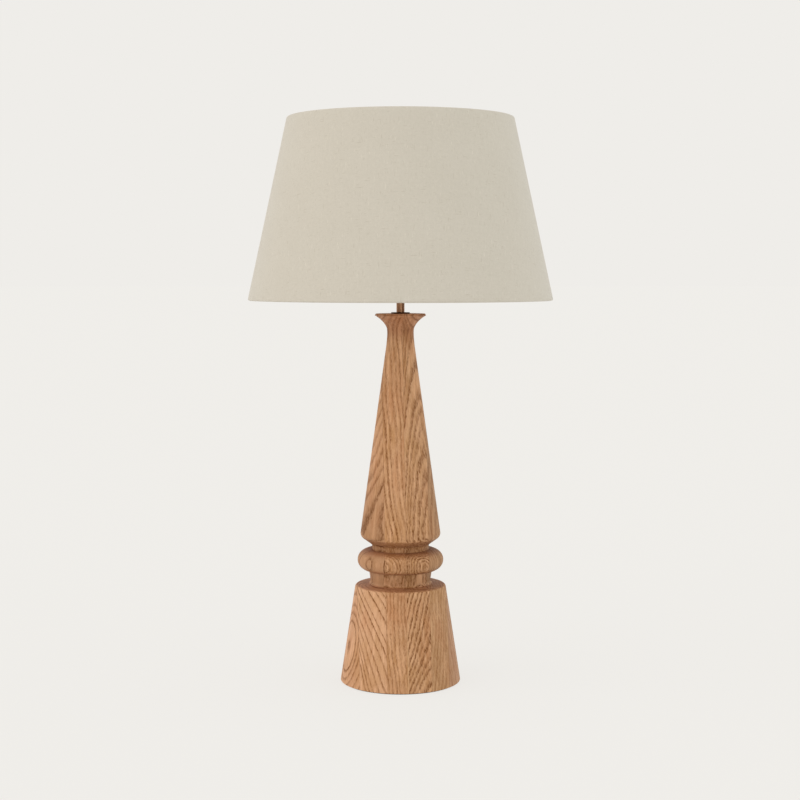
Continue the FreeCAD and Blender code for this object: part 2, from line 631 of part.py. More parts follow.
def glass_outline(off):
    R = BULB_R - off
    neck_r = 12.4 - off
    nz = capz0 + 6.0
    # tangent arc of radius F between the neck line and the globe
    nr2 = 14.2 - off
    F = 34.0 + off
    cx = nr2 + F
    # centre height from tangency with the globe: distance between centres = R + F
    h = sqrt((R + F) ** 2 - cx ** 2)
    czf = gc - h
    tx_, tz_ = cx * R / (R + F), gc - h * R / (R + F)
    am = (pi + atan2(tz_ - czf, tx_ - cx)) / 2
    mid = (cx + F * cos(am), czf + F * sin(am))
    gm = atan2(tz_ - gc, tx_)
    gmid = (R * cos((gm + pi / 2) / 2), gc + R * sin((gm + pi / 2) / 2))
    return neck_r, nz, nr2, czf, mid, (tx_, tz_), gmid, R


def glass_edges(off):
    neck_r, nz, nr2, czf, mid, tp, gmid, R = glass_outline(off)
    return [line(P(neck_r, nz), P(neck_r, capz1 + 0.4)), line(P(neck_r, capz1 + 0.4), P(nr2, czf)),
            arc3(P(nr2, czf), P(*mid), P(*tp)), arc3(P(*tp), P(*gmid), P(0, gc + R))]


go, gi = glass_edges(0.0), glass_edges(tg)
nr, nz = 12.4, capz0 + 6.0
glass = revolve(go + [line(P(0, gc + BULB_R), P(0, gc + BULB_R - tg))] + gi[::-1]
                + [line(P(nr - tg, nz), P(nr, nz))])
out["bulb_glass"] = single(glass)
# stem, leads and four straight filament rods
st0 = nz + 1.0
stem = revolve(rounded([(0, st0 + 4), (9.0, st0), (10.4, st0), (10.4, st0 + 0.9), (4.6, st0 + 7.0), (2.6, st0 + 16.0),
                        (1.7, st0 + 33.0), (1.7, st0 + 56.0), (2.6, st0 + 57.0), (2.6, st0 + 59.5), (0, st0 + 60.0)],
                       [0, 0, 0.3, 0.3, 3.0, 6.0, 0, 0.3, 0.5, 0.8, 0]))
out["bulb_stem"] = single(stem)
fil, leads = [], []
zf0, zf1 = st0 + 21.0, st0 + 57.0
for k in range(4):
    a = radians(45 + 90 * k)
    rb_, rt_ = 9.0, 7.0
    p0 = V(rb_ * cos(a), rb_ * sin(a), zf0)
    p1 = V(rt_ * cos(a), rt_ * sin(a), zf1)
    d = p1 - p0
    fil.append(Part.makeCylinder(0.85, d.Length, p0, d))
    q = V(1.9 * cos(a), 1.9 * sin(a), zf1 + 1.2)
    w1 = Part.makeCylinder(0.25, (q - p1).Length, p1, q - p1)
    q0 = V(2.6 * cos(a), 2.6 * sin(a), st0 + 14.5)
    w0 = Part.makeCylinder(0.25, (p0 - q0).Length, q0, p0 - q0)
    leads.append(w1)
    leads.append(w0)
out["bulb_filaments"] = Part.makeCompound(fil)
out["bulb_leads"] = Part.makeCompound([single(w.cut([stem] + fil)) for w in leads])

# --- write ------------------------------------------------------------------------
for name, shape in out.items():
    shape.exportStep("parts/%s.step" % name)
    bb = shape.BoundBox
    print("%-20s solids %d valid %s vol %10.1f  x %.1f..%.1f y %.1f..%.1f z %.1f..%.1f" % (
        name, len(shape.Solids), shape.isValid(), shape.Volume, bb.XMin, bb.XMax, bb.YMin, bb.YMax, bb.ZMin, bb.ZMax))
print("dome z0", dome_z0, "d1", d1, "switch z", sw_z, "rings", lr0, lr1, fr1, ur1, "skirt top", s1,
      "bulb", b0, gz_top, "wire", wb, wt, "slant", SL, "theta", degrees(th))
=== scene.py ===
import math

import bmesh
import bpy
import numpy as np
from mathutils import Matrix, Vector


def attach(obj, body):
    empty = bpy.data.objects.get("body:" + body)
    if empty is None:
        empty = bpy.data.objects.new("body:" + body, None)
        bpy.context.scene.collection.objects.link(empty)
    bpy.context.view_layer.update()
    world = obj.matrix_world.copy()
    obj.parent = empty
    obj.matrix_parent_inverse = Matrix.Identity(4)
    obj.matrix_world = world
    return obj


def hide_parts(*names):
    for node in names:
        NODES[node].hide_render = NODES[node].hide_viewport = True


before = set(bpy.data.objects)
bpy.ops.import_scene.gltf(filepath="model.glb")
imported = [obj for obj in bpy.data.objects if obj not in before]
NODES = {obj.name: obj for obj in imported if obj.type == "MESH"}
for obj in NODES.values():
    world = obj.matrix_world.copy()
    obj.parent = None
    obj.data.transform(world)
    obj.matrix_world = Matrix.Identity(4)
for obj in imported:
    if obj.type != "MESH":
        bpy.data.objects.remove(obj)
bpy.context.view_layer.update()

MM = 0.001
Z0 = 1.5                     # mm, underside of the wood above the floor (felt pad)
LAM = math.radians(7.0)      # the glue planes' common normal, turned from +X
CL, SLM = math.cos(LAM), math.sin(LAM)
PLANES = [-66.9, -29.4, 0.6, 36.4, 66.0]
FAR = 1e6

# =============================================================================
# small helpers
# =============================================================================


def new_object(name, verts, faces, body, smooth=True):
    """mesh piece from points in millimetres"""
    me = bpy.data.meshes.new(name)
    me.from_pydata([tuple(v) for v in (np.asarray(verts, float) * MM)], [], faces)
    me.validate()
    ob = bpy.data.objects.new(name, me)
    bpy.context.scene.collection.objects.link(ob)
    bm = bmesh.new()
    bm.from_mesh(me)
    bmesh.ops.remove_doubles(bm, verts=bm.verts, dist=2e-7)
    bmesh.ops.dissolve_degenerate(bm, edges=bm.edges, dist=1e-8)
    bmesh.ops.recalc_face_normals(bm, faces=bm.faces)
    bm.to_mesh(me)
    bm.free()
    if smooth:
        me.polygons.foreach_set("use_smooth", [True] * len(me.polygons))
    me.update()
    if body:
        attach(ob, body)
    return ob


def sharpen(ob, degrees=35.0):
    ob.data.set_sharp_from_angle(angle=math.radians(degrees))


def vertex_array(me):
    co = np.zeros(len(me.vertices) * 3, np.float64)
    me.vertices.foreach_get("co", co)
    return co.reshape(-1, 3)


def float_attribute(me, name, values):
    a = me.attributes.get(name) or me.attributes.new(name, "FLOAT", "POINT")
    a.data.foreach_set("value", np.asarray(values, np.float32))


def vector_attribute(me, name, values):
    a = me.attributes.get(name) or me.attributes.new(name, "FLOAT_VECTOR", "POINT")
    a.data.foreach_set("vector", np.asarray(values, np.float32).ravel())


def smoothstep(x, a, b):
    t = np.clip((np.asarray(x, float) - a) / (b - a), 0, 1)
    return t * t * (3 - 2 * t)


def wobble(t, seed, terms=5, base=1.0):
    """smooth periodic noise of an angle, about -1 to 1"""
    r = np.random.RandomState(seed)
    out = np.zeros_like(np.asarray(t, float))
    for k in range(1, terms + 1):
        out += np.sin(k * base * t + r.uniform(0, 6.283)) * r.uniform(0.4, 1.0) / k ** 0.6
    return out / 2.2


# =============================================================================
# the turned column: one profile, six glued boards
# =============================================================================


def corner(a, b, c, r, n=10):
    """points of the tangent arc that rounds the corner at b"""
    a, b, c = (np.array(q, float) for q in (a, b, c))
    u, v = a - b, c - b
    u /= np.linalg.norm(u)
    v /= np.linalg.norm(v)
    ang = math.acos(float(u @ v))
    run = r / math.tan(ang / 2)
    p, q = b + u * run, b + v * run
    w = u + v
    ctr = b + w / np.linalg.norm(w) * r / math.sin(ang / 2)
    a0 = math.atan2(p[1] - ctr[1], p[0] - ctr[0])
    a1 = math.atan2(q[1] - ctr[1], q[0] - ctr[0])
    d = (a1 - a0 + math.pi) % (2 * math.pi) - math.pi
    th = a0 + np.linspace(0, 1, n) * d
    return np.stack([ctr[0] + r * np.cos(th), ctr[1] + r * np.sin(th)], 1)


def cone_r(z):
    return 59.27 + 0.1381 * (225.5 - z)


def column_profile():
    foot, sh = (89.9, 0.0), (89.9 - 0.155 * 145, 145.0)
    neck0, neck1 = (44.8, 146.9), (44.8, 166.4)
    parts = [corner((0.01, 0), foot, sh, 1.2, 7), corner(foot, sh, neck0, 4.6, 14),
             corner(sh, neck0, neck1, 5.4, 14)]
    th = np.radians(np.linspace(-84, 84, 73))
    c, s = np.cos(th), np.sin(th)
    e = 2 / 2.095
    parts.append(np.stack([64.05 - 19.3 + 19.3 * np.abs(c) ** e,
                           182.4 + 16.0 * np.sign(s) * np.abs(s) ** e], 1))
    neck2, under = (42.4, 198.4), (42.4, 205.5)
    shd, ce = (cone_r(218.3), 218.3), (cone_r(511.0), 511.0)
    parts += [np.array([neck2]), corner(neck2, under, shd, 5.0, 12), corner(under, shd, ce, 9.0, 18),
              np.array([ce])]
    k = np.linspace(0.06, (547.1 - 521) / 40, 26)
    parts.append(np.stack([18.9 + 79.5 * (1 - np.sqrt(1 - k * k)), 521 + 40 * k], 1))
    parts.append(np.array([(37.2, 548.0), (37.19, 548.35), (37.15, 548.62), (37.02, 548.95), (36.82, 549.2),
                           (36.55, 549.4), (36.25, 549.5)]))
    raw = np.concatenate(parts)
    # even out the long straight runs
    pts = [raw[0]]
    for q in raw[1:]:
        gap = np.linalg.norm(q - pts[-1])
        if gap < 0.02:
            continue
        n = max(1, int(math.ceil(gap / 2.4)))
        p = pts[-1]
        for i in range(1, n + 1):
            pts.append(p + (q - p) * i / n)
    return np.array(pts)


PROFILE = column_profile()
# a throat between the straight cone and the flared cap
i0 = int(np.searchsorted(PROFILE[:, 1], 505.0))
i1 = int(np.searchsorted(PROFILE[:, 1], 528.0))
zz = PROFILE[:, 1].copy()
rr = PROFILE[:, 0].copy()
for _ in range(30):
    rr[i0:i1] = 0.5 * rr[i0:i1] + 0.25 * (rr[i0 - 1:i1 - 1] + rr[i0 + 1:i1 + 1])
PROFILE = np.stack([rr, zz], 1)


def profile_frames(P):
    """outward normals (radial, axial) along the profile"""
    seg = np.diff(P, axis=0)
    seg /= np.linalg.norm(seg, axis=1)[:, None]
    n = np.stack([seg[:, 1], -seg[:, 0]], 1)
    v = np.empty_like(P)
    v[0], v[-1] = n[0], n[-1]
    v[1:-1] = n[:-1] + n[1:]
    return v / np.linalg.norm(v, axis=1)[:, None]


PROFILE_N = profile_frames(PROFILE)


def board_mesh(k):
    """closed board k (0 to 5): turned face, glue faces and the cuts through bore, recess and cable way"""
    lo = PLANES[k - 1] if k > 0 else -FAR
    hi = PLANES[k] if k < 5 else FAR
    rows = list(map(tuple, PROFILE))
    for c in (lo, hi):
        if abs(c) > 200:
            continue
        new = []
        for (ra, za), (rb, zb) in zip(rows[:-1], rows[1:]):
            new.append((ra, za))
            if (ra - abs(c)) * (rb - abs(c)) < 0:
                t = (abs(c) - ra) / (rb - ra)
                new.append((abs(c), za + t * (zb - za)))
        new.append(rows[-1])
        rows = new
    cap_split = 478.5
    verts, faces = [], []

    def add(p):
        verts.append(p)
        return len(verts) - 1

    run = []

    def close(run):
        if len(run) < 2:
            return
        cols = 2 + int(max((b - a) * r for r, z, a, b in run) / 1.9)
        F, B = [], []
        for r, z, a, b in run:
            f, g = [], []
            for j in range(cols + 1):
                th = a + (b - a) * j / cols
                d, e = r * math.cos(th), r * math.sin(th)
                # d along the boards' normal, e along the boards' faces (front is -e)
                f.append(add((d * CL + e * SLM, d * SLM - e * CL, z + Z0)))
                g.append(add((d * CL - e * SLM, d * SLM + e * CL, z + Z0)))
            F.append(f)
            B.append(g)
        n = len(run)
        for i in range(n - 1):
            for j in range(cols):
                faces.append((F[i][j], F[i][j + 1], F[i + 1][j + 1], F[i + 1][j]))
                faces.append((B[i][j + 1], B[i][j], B[i + 1][j], B[i + 1][j + 1]))
            faces.append((F[i][0], F[i + 1][0], B[i + 1][0], B[i][0]))
            faces.append((F[i][cols], B[i][cols], B[i + 1][cols], F[i + 1][cols]))
        for i, up in ((0, False), (n - 1, True)):
            r, z, a, b = run[i]
            if b - a < 1e-6:
                continue
            ring = F[i] + B[i][::-1]
            faces.append(tuple(ring if up else ring[::-1]))

    for r, z in rows:
        h, l = hi, lo
        if k == 3 and z > cap_split:
            h = FAR
        if l > r + 1e-9 or h < -r - 1e-9 or (k == 4 and z > cap_split):
            close(run)
            run = []
            continue
        a = math.acos(max(-1.0, min(1.0, h / r))) if h < r else 0.0
        b = math.acos(max(-1.0, min(1.0, l / r))) if l > -r else math.pi
        run.append((r, z, a, b))
    close(run)
    return verts, faces


def cutter(name, segments, rings):
    """closed revolved cutter: rings are (radius, point on the axis), all along one axis"""
    verts, faces = [], []
    axis = (np.array(rings[-1][1], float) - np.array(rings[0][1], float))
    axis /= np.linalg.norm(axis)
    u = np.array([1.0, 0, 0])
    if abs(axis[0]) > 0.9:
        u = np.array([0, 1.0, 0])
    u = u - axis * (u @ axis)
    u /= np.linalg.norm(u)
    v = np.cross(axis, u)
    for r, p in rings:
        for s in range(segments):
            t = 2 * math.pi * (s + 0.5) / segments
            verts.append(np.array(p, float) + r * (math.cos(t) * u + math.sin(t) * v))
    m = len(rings)
    for i in range(m - 1):
        for s in range(segments):
            q = (s + 1) % segments
            faces.append((i * segments + s, i * segments + q, (i + 1) * segments + q, (i + 1) * segments + s))
    faces.append(tuple(range(segments))[::-1])
    faces.append(tuple((m - 1) * segments + s for s in range(segments)))
    return new_object(name, verts, faces, None)


CUTTERS = [
    cutter("cut_recess", 96, [(32.0, (0, 0, -5.0)), (32.0, (0, 0, Z0 + 28.0)), (31.4, (0, 0, Z0 + 29.4)),
                              (30.0, (0, 0, Z0 + 30.0))]),
    cutter("cut_bore", 48, [(5.5, (0, 0, 20.0)), (5.5, (0, 0, 560.0))]),
    cutter("cut_way", 64, [(5.6, (0, 20.0, 15.5)), (5.6, (0, 85.7, 15.5)), (8.3, (0, 85.7001, 15.5)),
                           (8.3, (0, 100.0, 15.5))]),
]

# --- growth rings --------------------------------------------------------------
# Every board was sawn from its own place in the log.  The pith line of each is a
# quadratic with one gentle sway, u = height over a stretch of the column, scaled to
# -1..1: (x0, x1, x2, y0, y1, y2, sway x, sway y, sway length, sway phase), and the
# radii of its growth rings follow.  Stretches: foot, bead and necks, cone and cap.
FOOT, WAIST, CONE = (2.0, 143.0), (147.0, 208.0), (212.0, 512.0)
GRAIN = {
    (1, "foot"): (FOOT, [94.7, -12.8, -17.3, -138.2, 63.0, -1.7, -1.5, -2.7, 100.3, 2.90],
                  [92.5, 102.5, 115, 130.5, 139, 149.5, 161, 169.5, 178.5, 184.5, 190, 201.5]),
    (1, "waist"): (WAIST, [-50.5, 1.0, 0.0, -47.0, -5.0, 0.0, 0.6, 0.8, 60.0, 1.2],
                   [6.6, 28.5, 35, 41, 47, 54]),
    (1, "cone"): ((212.0, 480.0), [67.9, 48.1, 0.4, -5.7, -10.9, 1.7, 0.5, 2.2, 123.7, 3.64],
                  [79, 86, 93.5, 99, 105.5, 111, 117.5, 123.5]),
    (2, "foot"): (FOOT, [23.3, -5.5, -5.3, -88.2, 11.2, -13.0, 5.4, 8.1, 136.5, 1.36],
                  [21, 25.5, 31.5, 36, 42, 48]),
    (2, "waist"): (WAIST, [-37.5, 1.0, -1.0, -80.7, -5.0, 0.0, 0.8, 0.6, 55.0, 0.6],
                   [27.4, 32.0, 36, 39.8, 43.2, 45.8, 47.8, 49.8, 51.8, 54, 57]),
    (2, "cone"): (CONE, [155.4, -5.0, -0.7, 7.0, -0.6, 3.4, -3.4, 16.5, 168.2, 5.85],
                  [156.5, 162, 168, 176.5, 181, 187, 192.5]),
    (3, "foot"): (FOOT, [148.8, 26.0, 5.8, -139.0, 33.4, 18.4, -3.1, -1.1, 185.3, 2.09],
                  [114.5, 122, 125.5, 130.5, 135, 139, 143.5, 149.5, 154, 160.5, 166, 172]),
    (3, "waist"): (WAIST, [41.6, 0.0, 0.0, -61.3, -9.0, 0.0, 0.6, 0.7, 58.0, 2.0],
                   [10.8, 13.8, 17.4, 21.3, 25.2, 28.6, 31.2, 33.6, 36, 38.6, 41.2, 44, 47, 50.5]),
    (3, "cone"): (CONE, [197.6, 19.6, 0.2, -127.2, 33.6, -7.7, -4.6, -8.4, 184.0, 2.33],
                  [185, 188.5, 193, 197, 200.5, 204, 212.5, 219.5, 223, 227]),
    (4, "foot"): (FOOT, [227.1, 6.6, -6.6, -26.8, 18.1, -16.5, -7.6, 22.2, 192.6, 4.81],
                  [156.5, 161, 166.5, 171, 176.5, 182.5]),
    (4, "waist"): (WAIST, [155.1, 0.5, -3.0, 15.6, -6.0, -4.0, 2.0, -2.0, 68.5, 2.62],
                   [91, 95.5, 99.5, 104, 108, 113, 118, 123]),
    (4, "cone"): ((212.0, 392.0), [-51.1, 14.2, 28.3, -26.8, 9.4, -34.0, -3.5, -7.7, 142.5, 4.79],
                  [72, 76, 80, 88.5, 95, 104.5, 112.5, 122]),
    (5, "foot"): (FOOT, [38.0, -6.0, 0.0, 66.0, 4.0, 0.0, 1.0, 1.5, 150.0, 1.0],
                  [76, 84, 95, 103, 113]),
}


def ring_scale(radii, rho, seed):
    """ring count at a radius, whole numbers on the dark lines, and the local ring width"""
    r = np.random.RandomState(seed)
    radii = list(map(float, radii))
    mean = (radii[-1] - radii[0]) / (len(radii) - 1)
    low, high = [radii[0]], [radii[-1]]
    while low[-1] > -20:
        low.append(low[-1] - mean * r.uniform(0.6, 1.35))
    while high[-1] < 520:
        high.append(high[-1] + mean * r.uniform(0.6, 1.35))
    full = np.array(low[::-1][:-1] + radii + high[1:])
    count = np.arange(len(full)) - (len(low) - 1.0)
    width = np.gradient(full)
    return np.interp(rho, full, count), np.interp(rho, full, width)


def stretch_rings(k, part, P, seed):
    """ring count at points of board k (millimetres, heights above the wood's underside)"""
    (lo, hi), p, radii = GRAIN[(k, part)]
    z = P[:, 2]
    if k in (1, 2) and part == "foot":
        # these boards' rings lean steeply; the figure is the same on the front and the back
        d = P[:, 0] * CL + P[:, 1] * SLM
        e = -np.sqrt((-P[:, 0] * SLM + P[:, 1] * CL) ** 2 + 16.0)
        P = np.stack([d * CL - e * SLM, d * SLM + e * CL, z], 1)
    u = (z - (lo + hi) / 2) / ((hi - lo) / 2)
    s = np.sin(2 * math.pi * z / p[8] + p[9])
    x = p[0] + p[1] * u + p[2] * u * u + p[6] * s
    y = p[3] + p[4] * u + p[5] * u * u + p[7] * s
    return ring_scale(radii, np.hypot(P[:, 0] - x, P[:, 1] - y), seed)


def board_rings(k, P):
    """ring count and ring width over board k"""
    z = P[:, 2]
    d = P[:, 0] * CL + P[:, 1] * SLM
    e = -P[:, 0] * SLM + P[:, 1] * CL
    if k == 0:
        # sawn through a swelling in the stem: the rings close round it
        depth = -(89.9 - 0.155 * z) + 8.0
        f = np.sqrt(((e + 14.3) ** 2 + (d - depth) ** 2) / 22.0 ** 2 + (z - 56.0) ** 2 / 39.0 ** 2)
        return ring_scale([6, 22, 28, 34.5, 44, 54, 62, 72], 22.0 * f, 11)
    if k == 5:
        return stretch_rings(k, "foot", P, 61)
    n0, w0 = stretch_rings(k, "foot", P, 10 * k + 1)
    n1, w1 = stretch_rings(k, "waist", P, 10 * k + 2)
    n2, w2 = stretch_rings(k, "cone", P, 10 * k + 3)
    a, b = smoothstep(z, 143.8, 147.4), smoothstep(z, 207.0, 217.0)
    near = np.abs(z - 146) < 3
    if near.any():
        n1 = n1 - round(float((n1 - n0)[near].mean()))
    near = np.abs(z - 212) < 5
    if near.any():
        n2 = n2 - round(float((n2 - n1)[near].mean()))
    n = (n0 * (1 - a) + n1 * a) * (1 - b) + n2 * b
    w = (w0 * (1 - a) + w1 * a) * (1 - b) + w2 * b
    return n, w


def make_board(k):
    verts, faces = board_mesh(k)
    ob = new_object("board_%d" % (k + 1), verts, faces, None)
    if k in (1, 2, 3):
        for c in CUTTERS:
            if k == 1 and c.name != "cut_recess":
                continue
            m = ob.modifiers.new(c.name, "BOOLEAN")
            m.operation = "DIFFERENCE"
            m.solver = "EXACT"
            m.object = c
        dg = bpy.context.evaluated_depsgraph_get()
        me = bpy.data.meshes.new_from_object(ob.evaluated_get(dg))
        ob.modifiers.clear()
        old = ob.data
        ob.data = me
        bpy.data.meshes.remove(old)
        me.name = ob.name
    me = ob.data
    me.polygons.foreach_set("use_smooth", [True] * len(me.polygons))
    sharpen(ob, 32)
    # exact normals on the turned face, so that the shading runs across the glue lines
    co = vertex_array(me) / MM
    zw = np.clip(co[:, 2] - Z0, 0, 549.5)
    r = np.hypot(co[:, 0], co[:, 1])
    pr = np.interp(zw, PROFILE[:, 1], PROFILE[:, 0])
    nr = np.interp(zw, PROFILE[:, 1], PROFILE_N[:, 0])
    nz = np.interp(zw, PROFILE[:, 1], PROFILE_N[:, 1])
    ln = np.hypot(nr, nz)
    nr, nz = nr / ln, nz / ln
    exact = np.stack([nr * co[:, 0] / np.maximum(r, 1e-6), nr * co[:, 1] / np.maximum(r, 1e-6), nz], 1)
    on = np.abs((r - pr) * nr) < 0.05
    loops_v = np.zeros(len(me.loops), np.int32)
    me.loops.foreach_get("vertex_index", loops_v)
    start = np.zeros(len(me.polygons), np.int32)
    total = np.zeros(len(me.polygons), np.int32)
    fn = np.zeros(len(me.polygons) * 3, np.float32)
    me.polygons.foreach_get("loop_start", start)
    me.polygons.foreach_get("loop_total", total)
    me.polygons.foreach_get("normal", fn)
    fn = fn.reshape(-1, 3)
    custom = np.zeros((len(loops_v), 3))
    for i in range(len(start)):
        vs = loops_v[start[i]:start[i] + total[i]]
        if on[vs].all() and (exact[vs] @ fn[i]).min() > 0.8:
            custom[start[i]:start[i] + total[i]] = exact[vs]
    me.normals_split_custom_set([tuple(v) for v in custom])
    P = np.stack([co[:, 0], co[:, 1], co[:, 2] - Z0], 1)
    n, w = board_rings(k, P)
    float_attribute(me, "ring", n + 100.0)
    float_attribute(me, "ringw", w)
    d = P[:, 0] * CL + P[:, 1] * SLM
    seam = np.full(len(d), 50.0)
    for c in (PLANES[k - 1] if k > 0 else None, PLANES[k] if k < 5 else None):
        if c is not None:
            seam = np.minimum(seam, np.abs(d - c))
    if k == 3:
        seam = np.where(P[:, 2] > 478.5, np.minimum(50, np.abs(d - 0.6)), seam)
    float_attribute(me, "seam", np.minimum(seam, 6.0))
    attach(ob, "base")
    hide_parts("column_board_%d" % (k + 1))
    return ob


BOARDS = [make_board(k) for k in range(6)]
for c in CUTTERS:
    me = c.data
    bpy.data.objects.remove(c)
    bpy.data.meshes.remove(me)

# =============================================================================
# materials
# =============================================================================


class Nodes:
    """short hand for one material's nodes"""

    def __init__(self, name):
        self.mat = bpy.data.materials.new(name)
        self.mat.use_nodes = True
        self.t = self.mat.node_tree
        self.t.nodes.clear()
        self.out = self.t.nodes.new("ShaderNodeOutputMaterial")

    def put(self, socket, value):
        if isinstance(value, bpy.types.NodeSocket):
            self.t.links.new(value, socket)
        else:
            socket.default_value = value

    def node(self, kind, inputs=None, **props):
        n = self.t.nodes.new(kind)
        for a, b in props.items():
            setattr(n, a, b)
        for a, b in (inputs or {}).items():
            self.put(n.inputs[a], b)
        return n

    def math(self, op, a, b=0.0, c=None, clamp=False):
        n = self.node("ShaderNodeMath", {0: a, 1: b}, operation=op, use_clamp=clamp)
        if c is not None:
            self.put(n.inputs[2], c)
        return n.outputs[0]

    def mul(self, a, b):
        return self.math("MULTIPLY", a, b)

    def add(self, a, b):
        return self.math("ADD", a, b)

    def sub(self, a, b):
        return self.math("SUBTRACT", a, b)

    def ramp(self, x, a, b, lo=0.0, hi=1.0, smooth=True):
        n = self.node("ShaderNodeMapRange", {0: x, 1: a, 2: b, 3: lo, 4: hi},
                      interpolation_type="SMOOTHSTEP" if smooth else "LINEAR", clamp=True)
        return n.outputs[0]

    def mix(self, f, a, b, kind="MIX"):
        n = self.node("ShaderNodeMix", data_type="RGBA", blend_type=kind, clamp_factor=True)
        self.put(n.inputs[0], f)
        self.put(n.inputs[6], a if isinstance(a, bpy.types.NodeSocket) else tuple(a)[:3] + (1,))
        self.put(n.inputs[7], b if isinstance(b, bpy.types.NodeSocket) else tuple(b)[:3] + (1,))
        return n.outputs[2]

    def coords(self, kind="Object"):
        return self.node("ShaderNodeTexCoord").outputs[kind]

    def attr(self, name, out="Fac"):
        return self.node("ShaderNodeAttribute", attribute_name=name, attribute_type="GEOMETRY").outputs[out]

    def scaled(self, v, s, offset=(0, 0, 0)):
        """v in metres times s per metre"""
        n = self.node("ShaderNodeVectorMath", {0: v, 1: tuple(s), 2: tuple(offset)}, operation="MULTIPLY_ADD")
        return n.outputs[0]

    def noise(self, v, scale=1.0, detail=2.0, rough=0.5, distortion=0.0, colour=False):
        n = self.node("ShaderNodeTexNoise", {"Vector": v, "Scale": scale, "Detail": detail, "Roughness": rough,
                                             "Distortion": distortion})
        return n.outputs[1 if colour else 0]

    def voronoi(self, v, scale=1.0, feature="F1", out=0, random=1.0):
        n = self.node("ShaderNodeTexVoronoi", {"Vector": v, "Scale": scale, "Randomness": random}, feature=feature)
        return n.outputs[out]

    def white(self, x, colour=False):
        n = self.node("ShaderNodeTexWhiteNoise", noise_dimensions="1D")
        self.put(n.inputs["W"], x)
        return n.outputs[1 if colour else 0]

    def split(self, v):
        n = self.node("ShaderNodeSeparateXYZ", {0: v})
        return n.outputs[0], n.outputs[1], n.outputs[2]

    def join(self, x, y, z):
        return self.node("ShaderNodeCombineXYZ", {0: x, 1: y, 2: z}).outputs[0]

    def bump(self, height, strength, distance, normal=None):
        n = self.node("ShaderNodeBump", {"Height": height, "Strength": strength, "Distance": distance})
        if normal is not None:
            self.put(n.inputs["Normal"], normal)
        return n.outputs[0]

    def surface(self, inputs):
        n = self.node("ShaderNodeBsdfPrincipled", inputs)
        self.t.links.new(n.outputs[0], self.out.inputs[0])
        return n


def rgb(r, g, b):
    """screen colour, 0 to 255, as linear light"""
    return tuple((c / 255 / 12.92) if c / 255 <= 0.04045 else ((c / 255 + 0.055) / 1.055) ** 2.4 for c in (r, g, b))


